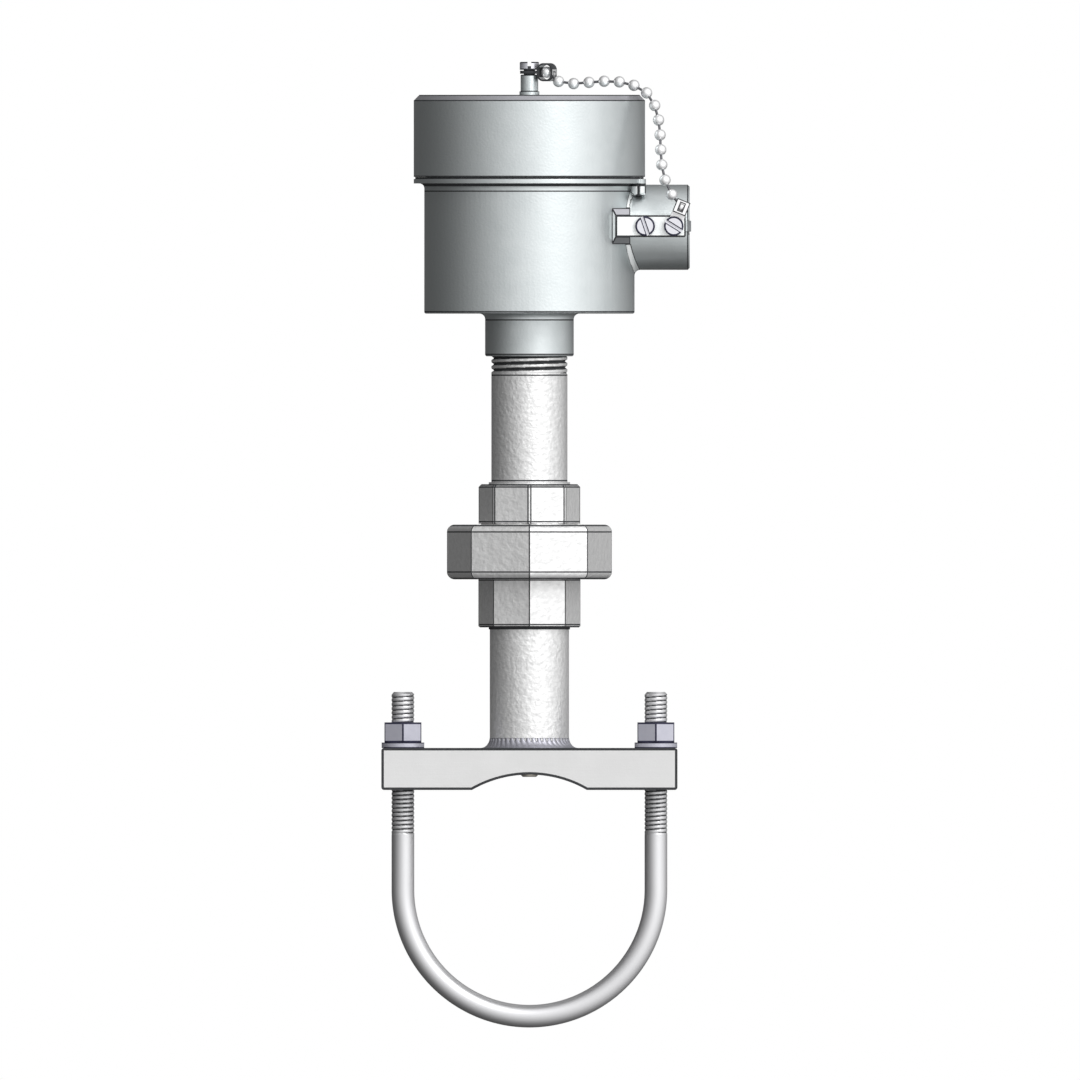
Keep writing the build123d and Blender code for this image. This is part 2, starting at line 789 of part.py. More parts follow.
def make_sensor_leads():
    """Leads that rise from the sheath and arch over to the inner corners of the terminals."""
    leads = []
    reach = terminal_distance - terminal_screw_head_radius - 2 * lead_radius
    half_span = (reach - lead_start) / 2
    low = plate_top_z
    bend_z = block_top_z + lead_sink
    end_z = block_top_z + terminal_proud
    for x, y in terminal_places():
        ux, uy = x / terminal_distance, y / terminal_distance
        start = (lead_start * ux, lead_start * uy, low)
        bend = (lead_start * ux, lead_start * uy, bend_z)
        middle = lead_start + half_span
        crown = (middle * ux, middle * uy, bend_z + half_span)
        end = (reach * ux, reach * uy, bend_z)
        drop = (reach * ux, reach * uy, end_z)
        path = Line(start, bend) + ThreePointArc(bend, crown, end) + Line(end, drop)
        leads.append(sweep(Plane(origin=start, z_dir=(0, 0, 1)) * Circle(lead_radius), path=path))
    return Compound(children=leads)


def make_insert_screws():
    """Two screws that hold the insert's plate down through springs."""
    slot = (small_slot_width, small_slot_depth, 0)
    shank_length = block_height + plate_thickness + spring_screw_depth
    screws = []
    for side in (-1, 1):
        screw = slotted_screw(
            spring_screw_head_radius, spring_screw_head_height, spring_screw_radius, shank_length, slot
        )
        screws.append(Pos(side * spring_spacing / 2, 0, block_top_z) * screw)
    return Compound(children=screws)


def make_insert_springs():
    """Two coil springs between the plate and the heads of its screws."""
    height = block_height - 2 * spring_wire_radius
    springs = []
    for side in (-1, 1):
        path = Helix(height / spring_turns, height, spring_radius)
        spring = sweep((path ^ 0) * Circle(spring_wire_radius), path=path, is_frenet=True)
        springs.append(Pos(side * spring_spacing / 2, 0, plate_top_z + spring_wire_radius) * spring)
    return Compound(children=springs)


def make_sheath_ferrule():
    """Ferrule that joins the sheath to the plate from below."""
    low = floor_z - ferrule_length
    return bar(ferrule_radius, low, floor_z) - bar(sheath_radius, low, floor_z)


def make_sensor_sheath():
    """Mineral-insulated sheath from the plate down to the sensing tip."""
    return bar(sheath_radius, seat_radius - tip_proud + tip_length, plate_top_z)


def make_sensor_tip():
    """Sensing tip that is pressed on the line."""
    low = seat_radius - tip_proud
    tip = bar(sheath_radius, low, low + tip_length)
    return chamfer(tip.edges().group_by(Axis.Z)[0], tip_chamfer)


def make_inner_earth_screw():
    """Earth screw on its boss inside the chamber."""
    slot = (pad_slot_width, pad_slot_depth, 0)
    screw = slotted_screw(
        pad_screw_head_radius, inner_earth_head_height, screw_shank_radius, inner_earth_screw_depth, slot
    )
    return Pos(0, inner_earth_y, floor_z + inner_earth_boss_height) * screw


parts = {
    "saddle_bar": make_saddle_bar(),
    "u_bolt": make_u_bolt(),
    "washer_left": make_washer(-1),
    "washer_right": make_washer(1),
    "nut_left": make_clamp_nut(-1),
    "nut_right": make_clamp_nut(1),
    "weld_bead": make_weld_bead(),
    "lower_nipple": make_lower_nipple(),
    "union_lower_tail": make_union_lower_tail(),
    "union_seal": make_union_seal(),
    "union_nut": make_union_nut(),
    "union_upper_tail": make_union_upper_tail(),
    "upper_nipple": make_upper_nipple(),
    "head_body": make_head_body(),
    "cover_seal": make_cover_seal(),
    "cover_lock_screw": make_cover_lock_screw(),
    "head_cover": make_head_cover(),
    "cover_chain_screw": make_cover_chain_screw(),
    "chain_upper_link": make_chain_upper_link(),
    "bead_chain": make_bead_chain(),
    "chain_lower_clamp": make_chain_lower_clamp(),
    "earth_screw": make_pad_screw(earth_screw_x, earth_slot_angle, 0),
    "chain_anchor_screw": make_pad_screw(anchor_screw_x, anchor_slot_angle, clamp_eye_thickness),
    "inner_earth_screw": make_inner_earth_screw(),
    "insert_plate": make_insert_plate(),
    "terminal_block": make_terminal_block(),
    "terminal_clamps": make_terminal_clamps(),
    "terminal_screws": make_terminal_screws(),
    "sensor_leads": make_sensor_leads(),
    "insert_screws": make_insert_screws(),
    "insert_springs": make_insert_springs(),
    "sheath_ferrule": make_sheath_ferrule(),
    "sensor_sheath": make_sensor_sheath(),
    "sensor_tip": make_sensor_tip(),
}

os.makedirs("parts", exist_ok=True)
for name, shape in parts.items():
    export_step(shape, f"parts/{name}.step")
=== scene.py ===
"""Dressed model of a surface resistance thermometer.

A round connection head stands on a pipe neck with a union. The neck is welded to a saddle bar, and a
U-bolt clamps the bar round a line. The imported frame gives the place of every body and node, and each
class below makes the visible meshes of one sub-assembly and gives them their finish.
"""

import json
import logging
import math
from dataclasses import dataclass, field
from enum import Enum
from typing import Callable, Sequence

import bmesh
import bpy
import numpy as np
from mathutils import Matrix, Vector


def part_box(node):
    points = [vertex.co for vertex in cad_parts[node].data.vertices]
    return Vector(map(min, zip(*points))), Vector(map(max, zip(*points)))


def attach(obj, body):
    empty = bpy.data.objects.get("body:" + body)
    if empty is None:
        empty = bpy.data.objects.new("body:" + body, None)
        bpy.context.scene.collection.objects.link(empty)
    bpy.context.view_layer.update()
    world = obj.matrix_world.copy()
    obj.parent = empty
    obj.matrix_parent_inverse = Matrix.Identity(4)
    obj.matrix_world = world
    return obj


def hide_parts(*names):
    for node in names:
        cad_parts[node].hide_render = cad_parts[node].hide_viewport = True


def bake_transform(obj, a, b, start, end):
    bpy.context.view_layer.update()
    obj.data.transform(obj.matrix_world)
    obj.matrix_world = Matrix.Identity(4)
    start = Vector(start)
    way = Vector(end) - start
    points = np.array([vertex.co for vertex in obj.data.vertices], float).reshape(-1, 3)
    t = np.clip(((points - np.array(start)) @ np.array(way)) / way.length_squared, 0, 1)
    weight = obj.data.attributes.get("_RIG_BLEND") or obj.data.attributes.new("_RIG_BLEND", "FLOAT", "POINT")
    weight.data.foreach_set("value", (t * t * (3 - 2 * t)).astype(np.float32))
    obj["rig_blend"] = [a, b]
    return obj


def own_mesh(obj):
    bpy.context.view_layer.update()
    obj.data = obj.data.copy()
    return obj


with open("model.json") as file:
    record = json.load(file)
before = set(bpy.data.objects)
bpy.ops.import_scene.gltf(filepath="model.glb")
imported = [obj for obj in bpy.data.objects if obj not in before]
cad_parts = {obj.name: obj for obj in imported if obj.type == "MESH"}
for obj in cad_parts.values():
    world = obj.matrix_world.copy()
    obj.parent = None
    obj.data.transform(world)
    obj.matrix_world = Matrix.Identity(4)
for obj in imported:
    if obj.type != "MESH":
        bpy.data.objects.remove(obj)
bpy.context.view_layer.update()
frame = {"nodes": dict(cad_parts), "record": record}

log = logging.getLogger("thermometer")

MM = 0.001
WHITE = (1.0, 1.0, 1.0, 1.0)
SCREEN_FULL = 255
SCREEN_TOE = 0.04045
SCREEN_SLOPE = 12.92
SCREEN_LIFT = 0.055
SCREEN_POWER = 2.4

Colour = tuple[float, float, float, float]
Screen = tuple[int, int, int]
Outline = list[tuple[float, float]]
Relief = Callable[[np.ndarray, float, float], np.ndarray]


def screen_colour(screen: Screen) -> Colour:
    """Turn an 8-bit screen colour into the opaque linear colour that a shader takes."""
    linear = []
    for value in screen:
        share = value / SCREEN_FULL
        if share <= SCREEN_TOE:
            linear.append(share / SCREEN_SLOPE)
        else:
            linear.append(((share + SCREEN_LIFT) / (1 + SCREEN_LIFT)) ** SCREEN_POWER)
    return (*linear, 1.0)


# Node trees


@dataclass(frozen=True)
class Step:
    """One node of a tree: its kind, its settings and the values of its inputs."""

    kind: str
    settings: dict[str, object] = field(default_factory=dict)
    values: dict[str | int, object] = field(default_factory=dict)


Link = tuple[str, str | int, str, str | int]


def fill_tree(tree: bpy.types.NodeTree, steps: dict[str, Step], links: Sequence[Link]) -> None:
    """Add named nodes to a tree and link their sockets.

    Args:
        tree: The tree.
        steps: The nodes by a name of their own.
        links: For each link the node and its output, then the node and its input.
    """
    nodes = {}
    for name, step in steps.items():
        nodes[name] = tree.nodes.new(step.kind)
        for setting, value in step.settings.items():
            setattr(nodes[name], setting, value)
        for entry, value in step.values.items():
            nodes[name].inputs[entry].default_value = value
    for source, output, target, entry in links:
        tree.links.new(nodes[source].outputs[output], nodes[target].inputs[entry])


def node_group(
    name: str, inputs: dict[str, str], steps: dict[str, Step], links: Sequence[Link]
) -> bpy.types.NodeTree:
    """Build a geometry group that ends with real instances and a finish.

    Args:
        name: Name of the group.
        inputs: Kind of each named input, apart from the finish.
        steps: The nodes between the inputs and the step named real.
        links: Links between the inputs, named given, and the nodes.

    Returns:
        The group.
    """
    tree = bpy.data.node_groups.new(name, "GeometryNodeTree")
    for label, kind in (*inputs.items(), ("Finish", "Material")):
        tree.interface.new_socket(label, in_out="INPUT", socket_type=f"NodeSocket{kind}")
    tree.interface.new_socket("Geometry", in_out="OUTPUT", socket_type="NodeSocketGeometry")
    ends = {
        "given": Step("NodeGroupInput"),
        "real": Step("GeometryNodeRealizeInstances"),
        "finish": Step("GeometryNodeSetMaterial"),
        "result": Step("NodeGroupOutput"),
    }
    closing = (
        ("real", "Geometry", "finish", "Geometry"),
        ("given", "Finish", "finish", "Material"),
        ("finish", "Geometry", "result", "Geometry"),
    )
    fill_tree(tree, {**ends, **steps}, (*links, *closing))
    return tree


def grown(carrier: bpy.types.Object, tree: bpy.types.NodeTree, inputs: dict[str, object]) -> bpy.types.Mesh:
    """Run a node group on an object and give the plain mesh.

    Args:
        carrier: Object that carries the node group.
        tree: The node group.
        inputs: Values of the group's named inputs.

    Returns:
        The plain mesh.
    """
    modifier = carrier.modifiers.new("grown", "NODES")
    modifier.node_group = tree
    for socket in tree.interface.items_tree:
        if socket.item_type == "SOCKET" and socket.in_out == "INPUT" and socket.name in inputs:
            modifier[socket.identifier] = inputs[socket.name]
    return plain_mesh(carrier)


# Finishes


FLOOR_TONE: Screen = (244, 244, 244)
PATCH_DETAIL = 4.0
GRAIN_DETAIL = 3.0
BRUSH_DETAIL = 2.0
EDGE_SAMPLES = 6
EDGE_START = 0.98
EDGE_FULL = 0.86


class Brush(Enum):
    """Direction of the fine marks that a tool leaves on a surface."""

    NONE = (1.0, 1.0, 1.0)
    ALONG_X = (0.04, 1.0, 1.0)
    ALONG_Z = (1.0, 1.0, 0.04)
    ROUND_Z = (0.06, 0.06, 1.0)


@dataclass(frozen=True)
class Finish:
    """A surface: its two tones, gloss, grain, tool marks and its edges, painted toward the edge tone:
    painted shade where that tone is dark, a painted highlight where it is light.
    """

    label: str
    tone: Screen
    deep_tone: Screen
    metallic: float = 0.9
    roughness: float = 0.4
    roughness_play: float = 0.08
    specular: float = 0.5
    patch_size: float = 6.0
    grain_size: float = 0.5
    grain_height: float = 0.02
    brush: Brush = Brush.NONE
    brush_height: float = 0.0
    edge_radius: float = 0.35
    # Colour painted along sharp edges as painted shade; the ceramic's lighter one is a painted highlight.
    edge_shading_tone: Screen = (60, 62, 64)
    edge_shading_share: float = 0.6

    def material(self) -> bpy.types.Material:
        """Build the node tree of this finish once and return the material."""
        known = bpy.data.materials.get(self.label)
        if known is not None:
            return known
        material = bpy.data.materials.new(self.label)
        material.use_nodes = True
        material.node_tree.nodes.clear()
        gloss = {
            "To Min": self.roughness - self.roughness_play,
            "To Max": self.roughness + self.roughness_play,
        }
        tones = {"A": screen_colour(self.tone), "B": screen_colour(self.deep_tone)}
        edge = {"From Min": EDGE_START, "From Max": EDGE_FULL, "To Max": self.edge_shading_share}
        body = {"Metallic": self.metallic, "Specular IOR Level": self.specular}
        steps = {
            "output": Step("ShaderNodeOutputMaterial"),
            "shader": Step("ShaderNodeBsdfPrincipled", values=body),
            "place": Step("ShaderNodeTexCoord"),
            "patches": self._noise(self.patch_size, PATCH_DETAIL),
            "grain": self._noise(self.grain_size, GRAIN_DETAIL),
            # Near sharp edges the bevel normal parts from the true normal, and there the colour is mixed
            # toward the edge shading tone: painted shade along the edges.
            "soft": Step("ShaderNodeBevel", {"samples": EDGE_SAMPLES}, {"Radius": self.edge_radius * MM}),
            "geometry": Step("ShaderNodeNewGeometry"),
            "agreement": Step("ShaderNodeVectorMath", {"operation": "DOT_PRODUCT"}),
            "edge": Step("ShaderNodeMapRange", values=edge),
            "tone": Step("ShaderNodeMix", {"data_type": "RGBA"}, tones),
            "painted_edge_shading": Step("ShaderNodeMix", {"data_type": "RGBA"}, {"B": screen_colour(self.edge_shading_tone)}),
            "gloss": Step("ShaderNodeMapRange", values=gloss),
            "relief": self._bump(self.grain_height),
        }
        links = [
            ("place", "Object", "patches", "Vector"),
            ("place", "Object", "grain", "Vector"),
            ("soft", "Normal", "agreement", 0),
            ("geometry", "Normal", "agreement", 1),
            ("agreement", "Value", "edge", "Value"),
            ("patches", "Fac", "tone", "Factor"),
            ("edge", "Result", "painted_edge_shading", "Factor"),
            ("tone", "Result", "painted_edge_shading", "A"),
            ("painted_edge_shading", "Result", "shader", "Base Color"),
            ("patches", "Fac", "gloss", "Value"),
            ("gloss", "Result", "shader", "Roughness"),
            ("grain", "Fac", "relief", "Height"),
            ("soft", "Normal", "relief", "Normal"),
            ("shader", "BSDF", "output", "Surface"),
        ]
        surface = "relief"
        if self.brush is not Brush.NONE:
            surface = "brushed"
            steps["stretch"] = Step("ShaderNodeMapping", values={"Scale": self.brush.value})
            steps["marks"] = self._noise(self.grain_size, BRUSH_DETAIL)
            steps["brushed"] = self._bump(self.brush_height)
            links += [
                ("place", "Object", "stretch", "Vector"),
                ("stretch", "Vector", "marks", "Vector"),
                ("marks", "Fac", "brushed", "Height"),
                ("relief", "Normal", "brushed", "Normal"),
            ]
        fill_tree(material.node_tree, steps, [*links, (surface, "Normal", "shader", "Normal")])
        return material

    @staticmethod
    def _noise(size: float, detail: float) -> Step:
        """Give a noise whose marks are about a given size in millimetres."""
        return Step("ShaderNodeTexNoise", values={"Scale": 1 / (size * MM), "Detail": detail})

    @staticmethod
    def _bump(height: float) -> Step:
        """Give a relief of a given height in millimetres."""
        return Step("ShaderNodeBump", values={"Distance": height * MM})


CAST_ALLOY = Finish(
    "cast_lacquered_alloy", (212, 217, 218), (195, 201, 202), roughness=0.36, patch_size=7.0,
    grain_size=0.8, grain_height=0.05, edge_shading_share=0.5
)
# Bright machined alloy of the pad's front; it also paints highlights on the pad's left bevel, the lug's
# lobes and the entry's rounded root.
MACHINED_ALLOY_AND_HIGHLIGHT = Finish(
    "machined_alloy_and_painted_highlight", (250, 252, 252), (238, 242, 242), metallic=0.7, roughness=0.5, patch_size=4.0,
    grain_size=0.4, grain_height=0.01, edge_shading_share=0.3
)
# Mid-dark alloy of painted shade on the pad's lower bevel and on the nub at the entry's end.
SHADED_ALLOY = Finish(
    "shaded_alloy", (128, 130, 132), (108, 110, 112), metallic=0.5, roughness=0.55, patch_size=2.0,
    grain_height=0.03, edge_shading_share=0.3
)
# Turned finish of the cover's chamfer band, set grey as painted shade; it also paints shade on the pad's
# upper bevel.
TURNED_RIM_AND_SHADE = Finish(
    "turned_rim_and_painted_shade", (190, 190, 195), (168, 168, 174), metallic=0.8, roughness=0.42,
    brush=Brush.ROUND_Z, brush_height=0.01, edge_shading_share=0.2
)
# Dark finish of painted shade: lines along edges, groove bottoms, gaps between parts and sides turned from
# the light.
EDGE_SHADE = Finish(
    "painted_edge_shade", (65, 66, 68), (51, 52, 54), metallic=0.0, roughness=0.7, specular=0.12,
    patch_size=2.0, edge_shading_share=0.0
)
# Bluish dark finish of painted shade lines on the zinc-plated nuts and washers and on the pad's screws.
PURPLE_SHADE = Finish(
    "painted_zinc_shade", (60, 60, 78), (44, 44, 60), metallic=0.0, roughness=0.65, specular=0.12,
    patch_size=2.0, edge_shading_share=0.0
)
GALVANISED_PIPE = Finish(
    "galvanised_pipe", (246, 246, 246), (196, 196, 196), metallic=0.75, roughness_play=0.14,
    patch_size=1.8, grain_size=1.5, grain_height=0.3, brush=Brush.ROUND_Z, brush_height=0.03
)
UNION_IRON = Finish(
    "satin_union_iron", (240, 240, 240), (204, 204, 204), metallic=0.75, roughness=0.42,
    patch_size=2.2, grain_size=1.7, grain_height=0.24, edge_radius=0.4, edge_shading_share=0.85
)
ROLLED_BAR = Finish(
    "rolled_flat_bar", (214, 214, 214), (206, 206, 206), metallic=0.5, roughness=0.55,
    patch_size=14.0, grain_size=0.6, brush=Brush.ALONG_X, brush_height=0.02, edge_radius=0.3,
    edge_shading_share=0.9
)
WELD_METAL = Finish(
    "weld_metal", (184, 184, 192), (148, 148, 158), metallic=0.8, roughness=0.42, patch_size=1.6,
    grain_size=0.4, edge_shading_share=0.3
)
ZINC_PLATE = Finish(
    "zinc_plate", (190, 190, 200), (172, 172, 184), metallic=0.5, roughness=0.42, patch_size=3.0,
    grain_size=0.4, grain_height=0.015, edge_radius=0.3, edge_shading_share=0.9, edge_shading_tone=(60, 60, 78)
)
BOLT_STEEL = Finish(
    "bolt_steel", (222, 222, 224), (202, 202, 204), metallic=0.7, roughness=0.42, patch_size=3.0,
    grain_height=0.015, brush=Brush.ALONG_Z, brush_height=0.01, edge_radius=0.2, edge_shading_share=0.3
)
SCREW_STEEL = Finish(
    "screw_steel", (206, 206, 218), (188, 188, 202), metallic=0.6, roughness=0.36, patch_size=2.0,
    grain_size=0.3, grain_height=0.01, edge_radius=0.3, edge_shading_share=0.9, edge_shading_tone=(60, 60, 70)
)
CHAIN_STEEL = Finish(
    "polished_chain", (246, 246, 246), (228, 228, 230), metallic=0.8, roughness=0.34,
    roughness_play=0.05, patch_size=1.5, grain_size=0.3, grain_height=0.008, edge_radius=0.2,
    edge_shading_share=0.5
)
CHAIN_WIRE = Finish(
    "chain_wire", (104, 104, 108), (84, 84, 88), metallic=0.5, roughness=0.45, patch_size=1.0,
    edge_shading_share=0.0
)
SPRING_STEEL = Finish(
    "spring_steel", (180, 182, 186), (150, 152, 158), roughness=0.32, patch_size=1.5, edge_shading_share=0.1
)
SHEATH_STEEL = Finish(
    "drawn_sheath", (214, 214, 212), (190, 190, 188), roughness=0.33, patch_size=4.0,
    brush=Brush.ROUND_Z, brush_height=0.01, edge_shading_share=0.4
)
TIP_SILVER = Finish(
    "soldered_tip", (232, 228, 216), (206, 200, 188), roughness=0.28, patch_size=1.5, edge_shading_share=0.4
)
TERMINAL_BRASS = Finish(
    "terminal_brass", (214, 186, 112), (186, 152, 84), roughness=0.32, patch_size=1.8,
    edge_shading_tone=(90, 66, 30)
)
COPPER_LEAD = Finish(
    "copper_lead", (206, 142, 104), (172, 104, 72), roughness=0.35, patch_size=1.2, edge_shading_share=0.1
)
# The ceramic's sharp edges are painted lighter than its body: a painted highlight.
CERAMIC = Finish(
    "unglazed_ceramic", (236, 230, 216), (214, 206, 190), metallic=0.0, roughness=0.62,
    patch_size=3.0, grain_size=0.35, grain_height=0.03, edge_shading_tone=(246, 242, 232), edge_shading_share=0.5
)
SEAL_RUBBER = Finish(
    "seal_rubber", (34, 34, 35), (24, 24, 25), metallic=0.0, roughness=0.6, edge_shading_share=0.0
)
SEAL_FIBRE = Finish(
    "seal_fibre", (96, 92, 86), (70, 66, 62), metallic=0.0, roughness=0.8, patch_size=1.0,
    grain_size=0.25, grain_height=0.05, edge_shading_share=0.2
)


# Mesh making


SHARP_ANGLE = math.radians(33)
FLAT_ANGLE = math.radians(0.3)
MERGE_DISTANCE = 1e-6
ROWS_PER_PITCH = 12
FADE_SHARE = 0.5
GROOVE_POWER = 0.8
WALL_LEAN = 0.9
FRONT_FACING = -0.99
NEAR = 0.01
BESIDE = 0.05


def place_object(name: str, data: bpy.types.ID) -> bpy.types.Object:
    """Make an object of some data and link it to the scene."""
    item = bpy.data.objects.new(name, data)
    bpy.context.scene.collection.objects.link(item)
    return item


def plain_mesh(item: bpy.types.Object) -> bpy.types.Mesh:
    """Give an object's mesh with its modifiers applied, and take them off the object."""
    graph = bpy.context.evaluated_depsgraph_get()
    graph.update()
    mesh = bpy.data.meshes.new_from_object(item.evaluated_get(graph), depsgraph=graph)
    item.modifiers.clear()
    return mesh


def mesh_from(name: str, points: np.ndarray, faces: Sequence[Sequence[int]]) -> bpy.types.Mesh:
    """Make a closed mesh, with its faces outward, from points in millimetres.

    Args:
        name: Name of the mesh.
        points: Points in millimetres, one row each.
        faces: Point numbers of each face.

    Returns:
        The mesh in metres.
    """
    mesh = bpy.data.meshes.new(name)
    mesh.from_pydata((np.asarray(points) * MM).tolist(), [], [list(face) for face in faces])
    clean = bmesh.new()
    clean.from_mesh(mesh)
    bmesh.ops.remove_doubles(clean, verts=clean.verts, dist=MERGE_DISTANCE)
    bmesh.ops.recalc_face_normals(clean, faces=clean.faces)
    clean.to_mesh(mesh)
    clean.free()
    return mesh


def turned(name: str, outline: Outline, steps: int = 128, relief: Relief | None = None) -> bpy.types.Mesh:
    """Turn a closed half section round the Z axis.

    Args:
        name: Name of the mesh.
        outline: (radius, height) corners in millimetres. Two neighbours on the axis close the poles.
        steps: Steps round the axis.
        relief: Change of the radius by angle, radius and height.

    Returns:
        The turned mesh in metres.
    """
    angles = np.arange(steps) * 2 * math.pi / steps
    points: list[np.ndarray] = []
    rows: list[list[int]] = []
    for radius, height in outline:
        start = sum(len(block) for block in points)
        if radius < MERGE_DISTANCE:
            points.append(np.array([[0.0, 0.0, height]]))
            rows.append([start] * steps)
            continue
        reach = np.full(steps, radius)
        if relief is not None:
            reach = reach + relief(angles, radius, height)
        level = np.full(steps, height)
        points.append(np.column_stack([reach * np.cos(angles), reach * np.sin(angles), level]))
        rows.append(list(range(start, start + steps)))
    faces = []
    for low, high in zip(rows, rows[1:] + rows[:1]):
        if len(set(low)) == 1 and len(set(high)) == 1:
            continue
        for step in range(steps):
            after = (step + 1) % steps
            corners = [low[step], low[after], high[after], high[step]]
            faces.append(list(dict.fromkeys(corners)))
    return mesh_from(name, np.vstack(points), faces)


def threaded_rows(low: float, high: float, radius: float, pitch: float) -> Outline:
    """Rows of a wall, close enough together to carry a thread."""
    count = int((high - low) / pitch * ROWS_PER_PITCH)
    return [(radius, low + (high - low) * row / count) for row in range(count + 1)]


def thread_relief(pitch: float, depth: float, low: float, high: float, groove: float) -> Relief:
    """Relief of a right-hand thread on a wall between two heights.

    Args:
        pitch: Rise of the thread for each turn.
        depth: Depth of the groove.
        low: Height at which the thread starts.
        high: Height at which the thread ends.
        groove: Share of the pitch that the groove takes.

    Returns:
        The change of the radius by angle, radius and height.
    """

    def relief(angles: np.ndarray, radius: float, height: float) -> np.ndarray:
        """Give the change of the radius along one row."""
        if not low < height < high:
            return np.zeros_like(angles)
        fade = min((height - low) / (FADE_SHARE * pitch), (high - height) / (FADE_SHARE * pitch), 1.0)
        phase = (height / pitch - angles / (2 * math.pi)) % 1.0
        distance = np.abs(phase - 0.5) / (0.5 * groove)
        return -depth * fade * np.clip(1 - distance, 0, 1) ** GROOVE_POWER

    return relief


def solid_copy(node: str, name: str) -> bpy.types.Mesh:
    """Copy a node's mesh with its seams merged.

    Args:
        node: Name of the node.
        name: Name of the copy.

    Returns:
        A new mesh with the node's shape and no finish.
    """
    merged = bmesh.new()
    merged.from_mesh(frame["nodes"][node].data)
    bmesh.ops.remove_doubles(merged, verts=merged.verts, dist=MERGE_DISTANCE)
    bmesh.ops.recalc_face_normals(merged, faces=merged.faces)
    bmesh.ops.dissolve_limit(merged, angle_limit=FLAT_ANGLE, verts=merged.verts, edges=merged.edges)
    merged.verts.index_update()
    places = [vertex.co[:] for vertex in merged.verts]
    faces = [[vertex.index for vertex in face.verts] for face in merged.faces]
    merged.free()
    mesh = bpy.data.meshes.new(name)
    mesh.from_pydata(places, [], faces)
    return mesh


@dataclass(frozen=True)
class Faces:
    """Middles in millimetres, normals and finish numbers of a mesh's faces."""

    middles: np.ndarray
    normals: np.ndarray
    numbers: np.ndarray

    @classmethod
    def of(cls, mesh: bpy.types.Mesh) -> "Faces":
        """Read the faces of a mesh."""
        count = len(mesh.polygons)
        middles, normals = np.empty(count * 3), np.empty(count * 3)
        numbers = np.empty(count, dtype=np.int32)
        mesh.polygons.foreach_get("center", middles)
        mesh.polygons.foreach_get("normal", normals)
        mesh.polygons.foreach_get("material_index", numbers)
        return cls(middles.reshape(count, 3) / MM, normals.reshape(count, 3), numbers)

    @property
    def x(self) -> np.ndarray:
        """Place along X."""
        return self.middles[:, 0]

    @property
    def y(self) -> np.ndarray:
        """Place along Y."""
        return self.middles[:, 1]

    @property
    def z(self) -> np.ndarray:
        """Place along Z."""
        return self.middles[:, 2]

    @property
    def reach(self) -> np.ndarray:
        """Distance from the Z axis."""
        return np.hypot(self.x, self.y)

    @property
    def upright(self) -> np.ndarray:
        """Whether a face stands like a wall."""
        return np.abs(self.normals[:, 2]) < WALL_LEAN


def farthest(mesh: bpy.types.Mesh, distances: np.ndarray) -> np.ndarray:
    """Give the largest of a vertex distance over the corners of every face."""
    corners = np.empty(len(mesh.loops), dtype=np.int32)
    starts = np.empty(len(mesh.polygons), dtype=np.int32)
    mesh.loops.foreach_get("vertex_index", corners)
    mesh.polygons.foreach_get("loop_start", starts)
    return np.maximum.reduceat(distances[corners], starts)


def paint(mesh: bpy.types.Mesh, number: int, chosen: np.ndarray) -> None:
    """Give the chosen faces the finish of a number."""
    numbers = Faces.of(mesh).numbers
    numbers[chosen] = number
    mesh.polygons.foreach_set("material_index", numbers)


def trim(mesh: bpy.types.Mesh, number: int, chosen: np.ndarray, width: float) -> None:
    """Darken a band along the border of chosen flat faces.

    Args:
        mesh: Mesh that the band is cut into.
        number: Number of the band's finish.
        chosen: Which faces make up the flat areas.
        width: Width of the band in millimetres.
    """
    work = bmesh.new()
    work.from_mesh(mesh)
    work.faces.ensure_lookup_table()
    areas = [work.faces[row] for row in np.flatnonzero(chosen)]
    band = bmesh.ops.inset_region(
        work, faces=areas, thickness=width * MM, use_even_offset=True, use_boundary=True
    )
    for face in band["faces"]:
        face.material_index = number
    work.to_mesh(mesh)
    work.free()


@dataclass(frozen=True)
class Strip:
    """A narrow band of a surface, between two parallel planes."""

    across: tuple[float, float, float]
    middle: float
    width: float

    def cut(self, mesh: bpy.types.Mesh) -> None:
        """Split the faces of a mesh along both borders of the band."""
        split = bmesh.new()
        split.from_mesh(mesh)
        for border in (self.middle - self.width / 2, self.middle + self.width / 2):
            bmesh.ops.bisect_plane(
                split,
                geom=[*split.verts, *split.edges, *split.faces],
                dist=MERGE_DISTANCE,
                plane_co=Vector(self.across) * border * MM,
                plane_no=Vector(self.across),
            )
        split.to_mesh(mesh)
        split.free()

    def holds(self, middles: np.ndarray) -> np.ndarray:
        """Tell which points lie inside the band."""
        return np.abs(middles @ np.array(self.across) - self.middle) < self.width / 2


@dataclass(frozen=True)
class Border:
    """Bands of one kind, and the part of the surface that they darken."""

    strips: tuple[Strip, ...]
    where: Callable[[Faces], np.ndarray]


def darken(mesh: bpy.types.Mesh, number: int, borders: Sequence[Border]) -> None:
    """Give the bands of a mesh the finish of a number.

    Args:
        mesh: Mesh that the bands are cut into.
        number: Number of the darker finish.
        borders: Bands to cut and darken.
    """
    for border in borders:
        for strip in border.strips:
            strip.cut(mesh)
    at = Faces.of(mesh)
    for border in borders:
        inside = np.any([strip.holds(at.middles) for strip in border.strips], axis=0)
        paint(mesh, number, inside & border.where(at))


def rings(*heights: float, width: float) -> tuple[Strip, ...]:
    """Bands square to the Z axis."""
    return tuple(Strip((0.0, 0.0, 1.0), height, width) for height in heights)


